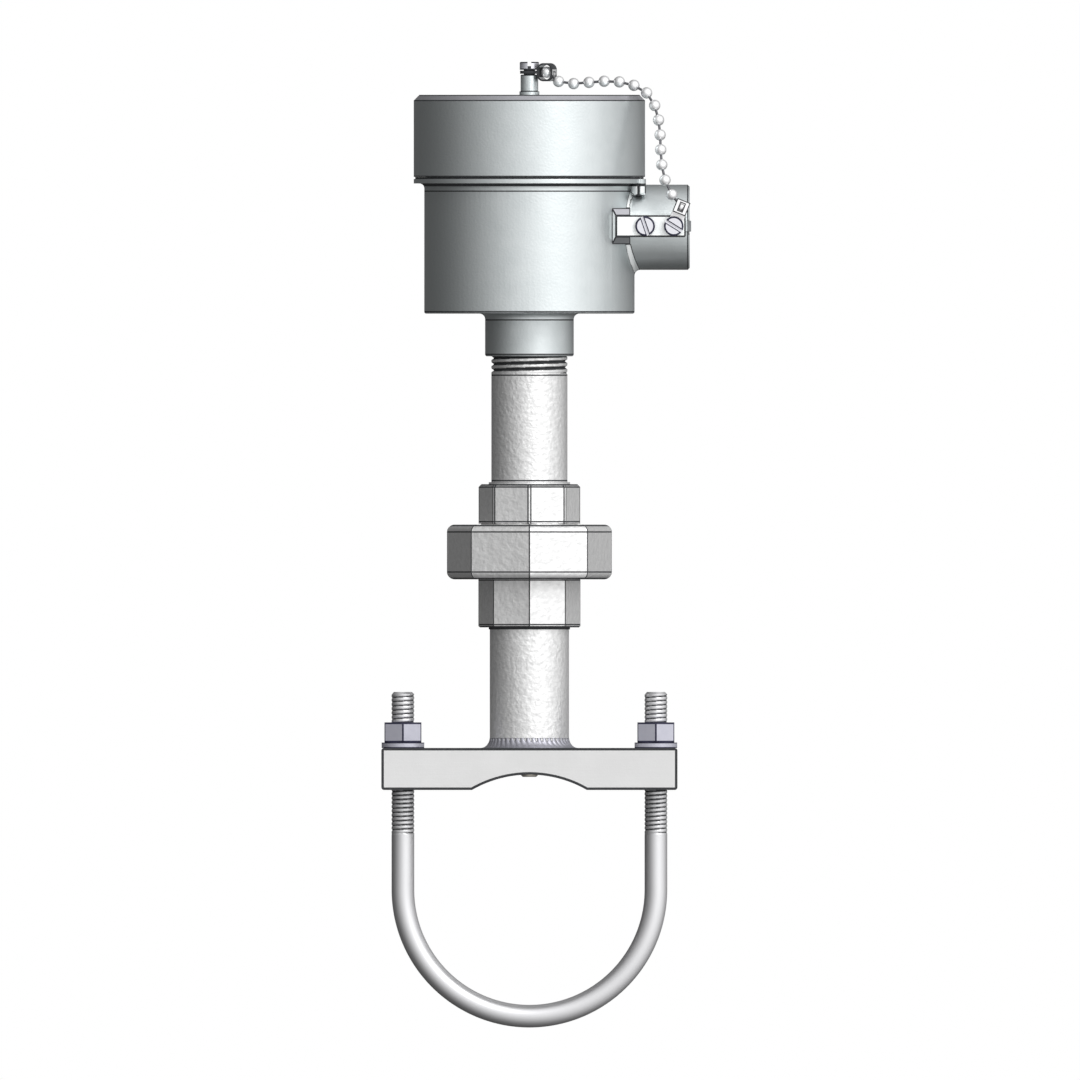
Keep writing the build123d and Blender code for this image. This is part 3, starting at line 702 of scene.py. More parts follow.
def corner_lines(count: int, offsets: Sequence[float], width: float) -> tuple[Strip, ...]:
    """Bands along the upright corners of a prism round the Z axis, with one corner in front.

    Args:
        count: Corners of the prism.
        offsets: Distances of the bands from the corner.
        width: Width of a band.

    Returns:
        The bands. Each one crosses the axis, so it serves two opposite corners.
    """
    strips = []
    for corner in range(count // 2):
        turn = 2 * math.pi * corner / count - math.pi / 2
        across = (-math.sin(turn), math.cos(turn), 0.0)
        strips += [Strip(across, offset, width) for offset in offsets]
    return tuple(strips)


def body_of(node: str) -> str:
    """Name of the body that carries a node."""
    bodies = frame["record"]["behaviour"]["bodies"]
    return next(body for body, nodes in bodies.items() if node in nodes)


def stand_for(node: str, name: str, mesh: bpy.types.Mesh, *finishes: Finish) -> None:
    """Shade a detailed mesh, dress it, and put it in the place of a node.

    Args:
        node: Node that the mesh stands for.
        name: Name of the new piece.
        mesh: The detailed mesh, in metres, in the frame's place.
        finishes: Finishes of the surface, in the order of the faces' numbers.
    """
    piece = place_object(name, mesh)
    mesh.polygons.foreach_set("use_smooth", [True] * len(mesh.polygons))
    mesh.set_sharp_from_angle(angle=SHARP_ANGLE)
    for finish in finishes:
        mesh.materials.append(finish.material())
    even = piece.modifiers.new("even_normals", "WEIGHTED_NORMAL")
    even.keep_sharp = True
    piece.data = plain_mesh(piece)
    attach(piece, body_of(node))
    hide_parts(node)
    log.info("%s stands for %s with %d faces", name, node, len(piece.data.polygons))


def dress_node(node: str, finish: Finish) -> None:
    """Give a node that keeps its own mesh a finish."""
    piece = frame["nodes"][node]
    for place in piece.material_slots:
        place.material = finish.material()
    log.info("%s keeps its mesh", node)


def low_high(node: str, axis: int = 2) -> tuple[float, float]:
    """Lowest and highest place of a node along an axis, in millimetres."""
    low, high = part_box(node)
    return low[axis] / MM, high[axis] / MM


# Sub-assemblies


@dataclass
class NeckPipes:
    """The two pipe lengths of the neck and the weld at the lower one's foot."""

    bore_radius: float = 10.5
    thread_pitch: float = 2.15
    thread_depth: float = 0.9
    groove_share: float = 0.6
    thread_length: float = 6.4
    thread_rise: float = 0.4
    runout_line: float = 0.5
    foot_line: float = 0.3
    groove_shade_depth: float = 0.25
    end_chamfer: float = 0.6
    wall_play: float = 0.02
    weld_leg: float = 3.2
    weld_rise: float = 3.5
    weld_sink: float = 0.05
    weld_rows: int = 14
    ripple_count: int = 44
    ripple_steps: int = 12
    ripple_height: float = 0.34
    ripple_floor: float = 0.8
    ripple_lean: float = 0.8
    steps: int = 160

    def build(self) -> None:
        """Build the pipes and the weld."""
        boss_z = low_high("head_body")[0]
        self._pipe("upper_nipple", "upper_neck_pipe", boss_z - self.thread_length, boss_z)
        high = low_high("lower_nipple")[1]
        self._pipe("lower_nipple", "lower_neck_pipe", high, high)
        self._weld()

    def _pipe(self, node: str, name: str, thread_low: float, thread_high: float) -> None:
        """Build one pipe length, with the thread that stays in sight."""
        low, high = low_high(node)
        radius = low_high(node, 0)[1]
        wall_radius = radius - self.wall_play
        wall = [
            (self.bore_radius, low),
            (radius - self.end_chamfer, low),
            (wall_radius, low + self.end_chamfer),
        ]
        if thread_high > thread_low:
            foot = low_high("union_upper_tail")[1] + self.foot_line
            wall += [(wall_radius, foot), (wall_radius, foot + self.runout_line)]
            wall.append((wall_radius, thread_low - self.runout_line))
            wall += threaded_rows(thread_low, thread_high, wall_radius, self.thread_pitch)
        outline = wall + [
            (wall_radius, high - self.end_chamfer),
            (radius - self.end_chamfer, high),
            (self.bore_radius, high),
        ]
        relief = thread_relief(
            self.thread_pitch,
            self.thread_depth,
            thread_low,
            thread_high + self.thread_pitch,
            self.groove_share,
        )

        def outside(angles: np.ndarray, row_radius: float, height: float) -> np.ndarray:
            """Keep the relief off the bore and the hidden end."""
            if row_radius < wall_radius or height > thread_high + self.thread_rise:
                return np.zeros_like(angles)
            return relief(angles, row_radius, height)

        mesh = turned(name, outline, self.steps, outside)
        if thread_high > thread_low:
            # Painted shade: the thread's groove bottoms, the band below the thread and a line above the
            # union tail take the dark edge finish.
            at = Faces.of(mesh)
            sight = (at.z > thread_low - self.runout_line) & (at.z < thread_high)
            outer = sight & (at.reach > self.bore_radius + self.end_chamfer)
            paint(mesh, 1, outer & ((at.reach < radius - self.groove_shade_depth) | (at.z < thread_low)))
            line = (at.z > foot) & (at.z < foot + self.runout_line)
            paint(mesh, 1, line & (at.reach > self.bore_radius + self.end_chamfer))
        stand_for(node, name, mesh, GALVANISED_PIPE, EDGE_SHADE)

    def _weld(self) -> None:
        """Build the hollow weld with its ripples."""
        base = low_high("weld_bead")[0]
        pipe_radius = low_high("lower_nipple", 0)[1]
        outline: Outline = []
        for turn in np.linspace(0, math.pi / 2, self.weld_rows + 1):
            radius = pipe_radius + self.weld_leg * (1 - math.sin(turn)) + self.wall_play
            outline.append((radius, base + self.weld_rise * (1 - math.cos(turn))))
        inside = pipe_radius - self.weld_sink
        outline += [(inside, base + self.weld_rise), (inside, base)]

        def ripples(angles: np.ndarray, radius: float, height: float) -> np.ndarray:
            """Give the crescents that the weld pool leaves."""
            if radius < pipe_radius:
                return np.zeros_like(angles)
            share = (height - base) / self.weld_rise
            lean = self.ripple_lean * math.sin(math.pi / 2 * share)
            phase = (angles / (2 * math.pi) * self.ripple_count + lean) % 1.0
            envelope = math.sqrt(math.sin(math.pi * min(max(share, 0.0), 1.0)))
            return self.ripple_height * envelope * (np.abs(np.sin(math.pi * phase)) - self.ripple_floor)

        mesh = turned("neck_weld", outline, self.ripple_count * self.ripple_steps, ripples)
        stand_for("weld_bead", "neck_weld", mesh, WELD_METAL)


@dataclass
class Union:
    """The octagonal union: two tails, the nut and the seal between them."""

    sides: int = 8
    line_width: float = 0.5
    tail_corner: float = 17.95
    tail_chamfer: float = 1.0
    tail_lip: float = 0.7
    lip_inside: float = 14.2
    lower_shade: float = 0.2
    upper_shade: float = 1.0
    soft_corner_offset: float = 0.5
    ring_nut_round: float = 2.6
    rim_line: float = 0.3
    wall_share: float = 0.93

    def build(self) -> None:
        """Build the visible pieces of the union."""
        self._tail("union_lower_tail", "union_bottom_end", (0.0,), 1, self.lower_shade)
        soft = (-self.soft_corner_offset, self.soft_corner_offset)
        self._tail("union_upper_tail", "union_top_end", soft, -1, self.upper_shade)
        self._ring_nut()
        dress_node("union_seal", SEAL_FIBRE)

    def _tail(self, node: str, name: str, offsets: Sequence[float], inward: int, shade: float) -> None:
        """Build one octagonal end with painted shade lines along its corners and round it.

        Args:
            node: Node of the tail.
            name: Name of the piece.
            offsets: Distances of the corner lines from each corner.
            inward: 1 where the tail runs up to the nut, -1 where it runs down to it.
            shade: Distance from the nut to the painted shadow line beside it.
        """
        end = low_high(node)[0] if inward > 0 else low_high(node)[1]
        flat = self.tail_corner * math.cos(math.pi / self.sides)
        mesh = solid_copy(node, name)
        near, far = low_high("union_nut")
        edge = end + inward * (self.tail_lip + self.tail_chamfer)
        rim = end + inward * (self.tail_lip + self.line_width / 2)
        mouth = near if inward > 0 else far

        def on_prism(at: Faces) -> np.ndarray:
            """Tell which faces belong to the prism's outside."""
            outside = (at.z - mouth) * inward < 0
            return (at.reach > flat - self.tail_chamfer) & at.upright & outside

        borders = [
            Border(corner_lines(self.sides, offsets, self.line_width), on_prism),
            Border(rings(edge, mouth - inward * shade, rim, width=self.line_width), on_prism),
        ]
        darken(mesh, 1, borders)
        at = Faces.of(mesh)
        # The lower tail's lip is painted dark as shade under the nut.
        if inward > 0:
            lip = (at.z - end < self.tail_lip) & at.upright
            paint(mesh, 1, lip & (at.reach > self.lip_inside))
        stand_for(node, name, mesh, UNION_IRON, EDGE_SHADE)

    def _ring_nut(self) -> None:
        """Build the ring nut with its rounded rims and painted shade lines along its rims, ends and corners.
        """
        low, high = low_high("union_nut")
        flat = low_high("union_nut", 0)[1] * math.cos(math.pi / self.sides)

        def on_outside(at: Faces) -> np.ndarray:
            """Tell which faces belong to the nut's outside."""
            return at.reach > flat * self.wall_share

        mesh = solid_copy("union_nut", "union_ring_nut")
        rims = rings(low + self.ring_nut_round, high - self.ring_nut_round, width=self.line_width)
        ends = rings(low + self.rim_line, high - self.rim_line, width=2 * self.rim_line)
        corners = corner_lines(self.sides, (0.0,), self.line_width)
        darken(mesh, 1, [Border(rims + ends + corners, on_outside)])
        stand_for("union_nut", "union_ring_nut", mesh, UNION_IRON, EDGE_SHADE)


@dataclass
class LineClamp:
    """The saddle bar with its U-bolt, nuts and washers."""

    thread_pitch: float = 1.5
    thread_depth: float = 0.28
    groove_share: float = 0.55
    groove_shade_depth: float = 0.17
    thread_bottom: float = 19.4
    thread_over: float = 1.0
    rows_per_pitch: int = 10
    ring_steps: int = 48
    bend_rows: int = 120
    end_chamfer: float = 0.8
    line_width: float = 0.65
    bar_line: float = 0.9
    flat_share: float = 0.99
    nut_wall_share: float = 0.9
    nut_corners: tuple[float, ...] = (30.0, 90.0, 150.0)

    def build(self) -> None:
        """Build the bar, the bolt, the nuts and the washers."""
        self._bar()
        mesh = self._bolt()
        stand_for("u_bolt", "clamp_bolt", mesh, BOLT_STEEL, EDGE_SHADE)
        for side in ("left", "right"):
            self._nut(side)
            self._washer(side)

    def _bar(self) -> None:
        """Build the saddle bar with painted shade lines along its edges."""
        mesh = solid_copy("saddle_bar", "clamp_saddle")
        for axis in (1, 2):
            low, high = low_high("saddle_bar", axis)
            for place, side in ((low, -1), (high, 1)):
                at = Faces.of(mesh)
                flat = at.normals[:, axis] * side > self.flat_share
                flat &= np.abs(at.middles[:, axis] - place) < NEAR
                trim(mesh, 1, flat, self.bar_line)
        stand_for("saddle_bar", "clamp_saddle", mesh, ROLLED_BAR, EDGE_SHADE)

    def _nut(self, side: str) -> None:
        """Build one nut with painted shade lines along its edges."""
        node = f"nut_{side}"
        low, high = low_high(node)
        left, right = low_high(node, 0)
        middle_x = (left + right) / 2
        flat = (right - left) / 2
        mesh = solid_copy(node, f"clamp_nut_{side}")

        def outside(at: Faces) -> np.ndarray:
            """Tell which faces belong to the nut's outside."""
            return np.hypot(at.x - middle_x, at.y) > flat * self.nut_wall_share

        strips = list(rings(low + self.line_width / 2, high - self.line_width / 2, width=self.line_width))
        for turn in self.nut_corners:
            angle = math.radians(turn)
            across = (-math.sin(angle), math.cos(angle), 0.0)
            strips.append(Strip(across, middle_x * across[0], self.line_width))
        darken(mesh, 1, [Border(tuple(strips), outside)])
        stand_for(node, f"clamp_nut_{side}", mesh, ZINC_PLATE, PURPLE_SHADE)

    def _washer(self, side: str) -> None:
        """Build one washer with painted shade lines at its rims."""
        node = f"washer_{side}"
        low, high = low_high(node)
        mesh = solid_copy(node, f"clamp_washer_{side}")

        def rim(at: Faces) -> np.ndarray:
            """Tell which faces belong to the washer's rim."""
            return at.upright

        line = self.line_width / 2
        darken(mesh, 1, [Border(rings(low + line / 2, high - line / 2, width=line), rim)])
        stand_for(node, f"clamp_washer_{side}", mesh, ZINC_PLATE, PURPLE_SHADE)

    def _bolt(self) -> bpy.types.Mesh:
        """Sweep the rod round the U, with rolled threads on both legs."""
        low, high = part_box("u_bolt")
        rod_radius = high.y / MM
        leg_offset = high.x / MM - rod_radius
        bend_radius = -low.z / MM - rod_radius
        top = high.z / MM
        thread_top = top + self.thread_over
        relief = thread_relief(
            self.thread_pitch, self.thread_depth, self.thread_bottom, thread_top, self.groove_share
        )
        rows = int((top - self.end_chamfer) / self.thread_pitch * self.rows_per_pitch)
        heights = [(top - self.end_chamfer) * row / rows for row in range(rows + 1)]
        ring_angles = np.arange(self.ring_steps) * 2 * math.pi / self.ring_steps
        loops: list[np.ndarray] = []

        def loop(centre: tuple[float, float], outward: tuple[float, float], radius: float) -> None:
            """Add one loop of the rod, square to its line."""
            across = np.full(self.ring_steps, radius)
            if centre[1] > self.thread_bottom and radius == rod_radius:
                side = math.copysign(1.0, outward[0])
                angles = np.arctan2(np.sin(ring_angles), np.cos(ring_angles) * side)
                across = across + relief(angles, radius, centre[1])
            ahead = across * np.cos(ring_angles)
            x, z = (middle + ahead * share for middle, share in zip(centre, outward))
            loops.append(np.column_stack([x, across * np.sin(ring_angles), z]))

        loop((leg_offset, top), (1, 0), rod_radius - self.end_chamfer)
        for height in reversed(heights):
            loop((leg_offset, height), (1, 0), rod_radius)
        for row in range(1, self.bend_rows):
            turn = math.pi * row / self.bend_rows
            outward = (math.cos(turn), -math.sin(turn))
            loop((leg_offset * outward[0], bend_radius * outward[1]), outward, rod_radius)
        for height in heights:
            loop((-leg_offset, height), (-1, 0), rod_radius)
        loop((-leg_offset, top), (-1, 0), rod_radius - self.end_chamfer)

        faces: list[list[int]] = []
        steps = self.ring_steps
        for row in range(len(loops) - 1):
            for step in range(steps):
                after = (step + 1) % steps
                corners = [row * steps + step, row * steps + after]
                faces.append(corners + [corner + steps for corner in reversed(corners)])
        faces.append(list(range(steps)))
        faces.append(list(range((len(loops) - 1) * steps, len(loops) * steps)))
        mesh = mesh_from("clamp_bolt", np.vstack(loops), faces)
        # Painted shade: the thread's groove bottoms take the dark edge finish.
        at = Faces.of(mesh)
        reach = np.hypot(np.abs(at.x) - leg_offset, at.y)
        legs = (at.z > self.thread_bottom) & (at.z < top - self.end_chamfer)
        paint(mesh, 1, legs & (reach < rod_radius - self.groove_shade_depth))
        return mesh


@dataclass
class ConnectionHead:
    """The cast head with its cover, seal, lock screw and earth screws."""

    body_radius: float = 37.0
    body_height: float = 45.8
    body_edge: float = 0.7
    wall_play: float = 0.03
    flange_height: float = 1.6
    joint_gap: float = 0.7
    root_line: float = 1.0
    upper_line: float = 2.7
    boss_line: float = 2.2
    entry_radius: float = 15.0
    root_radius: float = 2.0
    brink: float = 0.01
    root_edge: float = 0.3
    pad_front: float = -24.0
    pad_line: float = 0.55
    foot_half_height: float = 6.3
    foot_left: float = 29.1
    ramp_end: float = 30.4
    ramp_facing: float = -0.8
    ramp_reach: float = 0.5
    foot_end: float = 36.2
    slit: float = 0.2
    slit_left: float = 0.02
    foot_line: float = 0.33
    nub_reach: float = 0.5
    nub_half_height: float = 3.0
    lug_angle: float = -15.8
    lug_distance: float = 39.9
    lug_radius: float = 2.6
    lug_drop: float = 4.2
    lug_bore: float = 1.7
    groove_half: float = 0.85
    groove_depth: float = 0.3
    lug_facing: float = 0.85
    line_width: float = 0.45
    bevel_facing: float = 0.3
    nub_depth: float = 0.6
    cover_height: float = 28.9
    cover_chamfer: float = 2.0
    cap_line: float = 0.42
    cap_foot: float = 0.25
    cap_brim: float = 0.15
    rim_inset: float = 0.2
    post_radius: float = 4.0
    post_foot: float = 1.25
    post_brim: float = 0.2
    screw_head_height: float = 2.8
    screw_head_radius: float = 3.45
    screw_line: float = 0.34
    slot_half: float = 0.66

    def build(self) -> None:
        """Build the head's castings and its small screws."""
        self._casting()
        self._cap()
        self._chain_screw("cover_chain_screw")
        for node in ("earth_screw", "chain_anchor_screw"):
            self._pad_screw(node)
        dress_node("cover_seal", SEAL_RUBBER)
        # The lock screw is painted all in the dark shade finish, so it reads as the shaded slit under the
        # cover.
        dress_node("cover_lock_screw", EDGE_SHADE)
        dress_node("inner_earth_screw", SCREW_STEEL)

    def _casting(self) -> None:
        """Build the head's body with its machined pad, painted shade lines and painted highlights."""
        mesh = solid_copy("head_body", "head_casting")
        self._close_slit(mesh)
        self._ramp(mesh)
        self._turned_lines(mesh)
        self._lug(mesh)
        self._root(mesh)
        self._pad(mesh)
        finishes = (CAST_ALLOY, EDGE_SHADE, MACHINED_ALLOY_AND_HIGHLIGHT, SHADED_ALLOY, TURNED_RIM_AND_SHADE)
        stand_for("head_body", "head_casting", mesh, *finishes)

    def _heights(self) -> tuple[float, float, float]:
        """Give the heights of the cover's foot, of the flange's underside and of the pad's middle."""
        cover_low = low_high("head_cover")[0]
        return cover_low, cover_low - self.joint_gap - self.flange_height, sum(low_high("earth_screw")) / 2

    def _close_slit(self, mesh: bpy.types.Mesh) -> None:
        """Raise the seat ring until no light passes between it and the cover."""
        cover_low = self._heights()[0]
        for vertex in mesh.vertices:
            x, y, z = vertex.co / MM
            if self.slit_left < cover_low - z < self.slit and math.hypot(x, y) > self.body_radius:
                vertex.co.z = (cover_low - self.slit_left) * MM

    def _ramp(self, mesh: bpy.types.Mesh) -> None:
        """Slope the end of the pad's foot down to the body's wall."""
        pad_z = self._heights()[2]
        left_y = -math.sqrt(self.body_radius**2 - self.foot_left**2)
        work = bmesh.new()
        work.from_mesh(mesh)

        def on_foot(face: bmesh.types.BMFace) -> bool:
            """Tell whether a face belongs to the pad's front or its bevels."""
            middle = face.calc_center_median() / MM
            level = abs(middle.z - pad_z) < self.foot_half_height
            before = middle.x > self.foot_left and middle.y < self.pad_front + self.root_radius
            return level and before and face.normal.y < self.ramp_facing and abs(face.normal.x) < NEAR

        faces = [face for face in work.faces if on_foot(face)]
        edges = {edge for face in faces for edge in face.edges}
        bmesh.ops.bisect_plane(
            work,
            geom=[*faces, *edges, *{vertex for edge in edges for vertex in edge.verts}],
            dist=MERGE_DISTANCE,
            plane_co=(self.ramp_end * MM, 0, 0),
            plane_no=(1, 0, 0),
        )
        inner = []
        for vertex in work.verts:
            x, y, z = (value / MM for value in vertex.co)
            if abs(z - pad_z) > self.foot_half_height + NEAR or y > self.pad_front + self.root_radius:
                continue
            if abs(x - self.ramp_end) < NEAR and abs(y - self.pad_front) < NEAR:
                inner.append(vertex)
            elif x < self.foot_left + self.ramp_reach and abs(math.hypot(x, y) - self.body_radius) < BESIDE:
                vertex.co.x, vertex.co.y = self.foot_left * MM, left_y * MM
        for vertex in inner:
            side = math.copysign(self.foot_half_height, vertex.co.z / MM - pad_z)
            corner = np.array([self.foot_left, left_y, pad_z + side]) * MM
            for face in list(vertex.link_faces):
                for other in face.verts:
                    if np.abs(np.array(other.co) - corner).max() < NEAR * MM:
                        bmesh.utils.face_split(face, vertex, other)
                        break
        work.normal_update()
        work.to_mesh(mesh)
        work.free()

    def _turned_lines(self, mesh: bpy.types.Mesh) -> None:
        """Paint shade lines round the casting and painted shade in the joint gap under the cover."""
        cover_low, flange_low, pad_z = self._heights()
        body_low = flange_low - self.body_height
        boss_low = low_high("head_body")[0]
        entry_end = low_high("head_body", 0)[1] - self.nub_reach

        def on_body(at: Faces) -> np.ndarray:
            """Tell which faces belong to the body's wall."""
            return (np.abs(at.reach - self.body_radius) < self.body_edge) & at.upright

        def on_boss(at: Faces) -> np.ndarray:
            """Tell which faces belong to the boss."""
            return (at.reach > self.entry_radius) & (at.z < body_low)

        def on_root(at: Faces) -> np.ndarray:
            """Tell which faces belong to the hollow under the flange."""
            hollow = (at.reach > self.body_radius + self.wall_play) & (at.reach < self.lug_distance)
            return hollow & (at.x < self.foot_end)

        def on_entry(at: Faces) -> np.ndarray:
            """Tell which faces belong to the outside of the conduit entry."""
            reach = np.hypot(at.y, at.z - pad_z)
            return reach > self.entry_radius - self.nub_reach - self.body_edge

        upright = (1.0, 0.0, 0.0)
        lines = [
            Border(rings(body_low + self.body_edge, width=self.line_width), on_body),
            Border(rings(flange_low - self.upper_line, width=self.line_width), on_body),
            Border(rings(flange_low - self.root_line / 2, width=self.root_line), on_root),
            Border(rings(body_low - self.boss_line, width=self.line_width), on_boss),
            Border(rings(boss_low + self.body_edge, width=self.line_width), on_boss),
            Border((Strip(upright, entry_end - self.body_edge, self.line_width),), on_entry),
        ]
        darken(mesh, 1, lines)
        # The casting's face inside the joint gap is painted dark as shade.
        at = Faces.of(mesh)
        joint = (at.z > cover_low - self.joint_gap + NEAR) & (at.z < cover_low)
        paint(mesh, 1, joint & (at.reach > self.body_radius))

    def _lug(self, mesh: bpy.types.Mesh) -> None:
        """Paint highlights on the lobes of the lock screw's lug, and painted shade under the flange, in its
        groove and on its sides turned down and to the right.
        """
        _, flange_low, _ = self._heights()
        turn = math.radians(self.lug_angle)
        place = self.lug_distance * np.array([math.cos(turn), math.sin(turn)])

        def on_lug(at: Faces) -> np.ndarray:
            """Tell which faces belong to the outside of the lug."""
            from_lug = np.linalg.norm(at.middles[:, :2] - place, axis=1)
            near = (from_lug < self.lug_radius + BESIDE) & (from_lug > self.lug_bore)
            below = (at.z < flange_low + NEAR) & (at.z > flange_low - self.lug_drop - NEAR)
            return near & below & (at.reach > self.body_radius + BESIDE)

        darken(mesh, 1, [Border(rings(flange_low - self.root_line / 2, width=self.root_line), on_lug)])
        at = Faces.of(mesh)
        chosen = on_lug(at) & (at.z < flange_low - self.root_line)
        off = at.middles[:, :2] - place
        groove = (np.abs(off[:, 0]) < self.groove_half) & (off[:, 1] < 0)
        groove &= np.linalg.norm(off, axis=1) < self.lug_radius - self.groove_depth
        shaded = (at.normals[:, 2] < -self.lug_facing) | (at.normals[:, 0] > self.lug_facing) | groove
        paint(mesh, 2, chosen & ~shaded)
        paint(mesh, 1, chosen & shaded)

    def _root(self, mesh: bpy.types.Mesh) -> None:
        """Paint a highlight on the rounded root of the conduit entry, between two painted shade lines."""
        _, flange_low, pad_z = self._heights()
        at = Faces.of(mesh)
        places = np.array([vertex.co for vertex in mesh.vertices]) / MM
        reach = farthest(mesh, np.hypot(places[:, 0], places[:, 1]))
        from_entry = farthest(mesh, np.hypot(places[:, 1], places[:, 2] - pad_z))
        root = (at.x > self.foot_left) & (at.z < flange_low - self.root_line)
        root &= (reach > self.body_radius + self.brink) & (reach < self.body_radius + self.root_radius)
        root &= from_entry > self.entry_radius + self.brink
        root &= from_entry < self.entry_radius + self.root_radius
        root &= np.abs(at.z - pad_z) > self.foot_half_height
        paint(mesh, 2, root)
        trim(mesh, 1, root, self.root_edge)

    def _pad(self, mesh: bpy.types.Mesh) -> None:
        """Brighten the machined pad, paint shade lines at its edges, and paint its bevels by the way they
        face the light: a highlight on the left one, shade on the upper and lower ones.
        """
        _, _, pad_z = self._heights()
        entry_end = low_high("head_body", 0)[1] - self.nub_reach

        def near_foot(at: Faces) -> np.ndarray:
            """Tell which faces lie at the foot of the pad."""
            across = (at.x > self.foot_left) & (at.x < self.foot_end)
            level = np.abs(at.z - pad_z) < self.foot_half_height + NEAR
            return across & level & (at.y < self.pad_front + self.root_radius)

        def on_front(at: Faces) -> np.ndarray:
            """Tell which faces belong to the pad's flat front."""
            flat = (at.y < self.pad_front + BESIDE) & (at.normals[:, 1] < FRONT_FACING)
            return flat & (at.x > self.foot_left)

        trim(mesh, 1, on_front(Faces.of(mesh)), self.pad_line)
        # Left bevel painted as highlight, upper and lower bevels as painted shade, each edged with a shade
        # line.
        for axis, side, number in ((0, -1, 2), (2, 1, 4), (2, -1, 3)):
            at = Faces.of(mesh)
            bevel = near_foot(at) & (at.normals[:, axis] * side > self.bevel_facing)
            bevel &= at.normals[:, 1] < -self.bevel_facing
            paint(mesh, number, bevel)
            trim(mesh, 1, bevel, self.foot_line)
        at = Faces.of(mesh)
        paint(mesh, 2, on_front(at) & (at.numbers != 1))
        # The nub at the entry's end is painted as shade.
        nub = (at.x > entry_end - self.body_edge) & (at.y < self.nub_depth - self.entry_radius)
        paint(mesh, 3, nub & (np.abs(at.z - pad_z) < self.nub_half_height))

    def _cap(self) -> None:
        """Build the cover with its turned rim and painted shade lines at its edges and round its post."""
        low, high = low_high("head_cover")
        mesh = solid_copy("head_cover", "head_cap")
        radius = low_high("head_cover", 0)[1]
        top = low + self.cover_height

        def outside(at: Faces) -> np.ndarray:
            """Tell which faces belong to the cover's outside."""
            return at.reach > radius - self.cover_chamfer - self.body_edge

        def on_post(at: Faces) -> np.ndarray:
            """Tell which faces belong to the post."""
            return (at.reach < self.post_radius) & at.upright

        edges = (low + self.cap_foot, top - self.cover_chamfer, top - self.cap_brim)
        post_edges = (top + self.post_foot, high - self.post_brim)
        borders = [
            Border(rings(*edges, width=self.cap_line), outside),
            Border(rings(*post_edges, width=self.cap_line), on_post),
        ]
        darken(mesh, 1, borders)
        at = Faces.of(mesh)
        rim = (at.reach > radius - self.cover_chamfer) & (at.z > top - self.cover_chamfer + self.rim_inset)
        paint(mesh, 2, rim & at.upright & (at.z < top - self.cap_brim - self.rim_inset))
        stand_for("head_cover", "head_cap", mesh, CAST_ALLOY, EDGE_SHADE, TURNED_RIM_AND_SHADE)

    def _chain_screw(self, node: str) -> None:
        """Build the screw of the cover's post, with painted shade lines round its head and painted shade in
        its slot and on its shank.
        """
        mesh = solid_copy(node, f"{node}_bright")
        high = low_high(node)[1]
        radius = low_high(node, 0)[1]

        def on_head(at: Faces) -> np.ndarray:
            """Tell which faces belong to the head's side."""
            return (at.reach > radius - 2 * self.line_width) & (at.normals[:, 2] < WALL_LEAN)

        base = high - self.screw_head_height
        line = self.line_width / 2
        darken(mesh, 1, [Border(rings(high - line, base + line, width=self.line_width), on_head)])
        at = Faces.of(mesh)
        slot = (np.abs(at.x) < self.slot_half) & (at.z > base + line)
        shank = at.z < base - NEAR
        paint(mesh, 1, slot | shank)
        stand_for(node, f"{node}_bright", mesh, SCREW_STEEL, EDGE_SHADE)

    def _pad_screw(self, node: str) -> None:
        """Build one screw of the pad, with painted shade lines round its head and along its slot."""
        mesh = solid_copy(node, f"{node}_bright")
        low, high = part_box(node)
        at = Faces.of(mesh)
        front = (at.y < low.y / MM + BESIDE) & (at.normals[:, 1] < FRONT_FACING)
        trim(mesh, 1, front, self.screw_line)
        at = Faces.of(mesh)
        off = at.middles - np.array([low.x + high.x, 0, low.z + high.z]) / 2 / MM
        reach = np.hypot(off[:, 0], off[:, 2])
        side = (reach > self.screw_head_radius - self.line_width) & (at.normals[:, 1] > FRONT_FACING)
        paint(mesh, 1, side)
        stand_for(node, f"{node}_bright", mesh, SCREW_STEEL, PURPLE_SHADE)


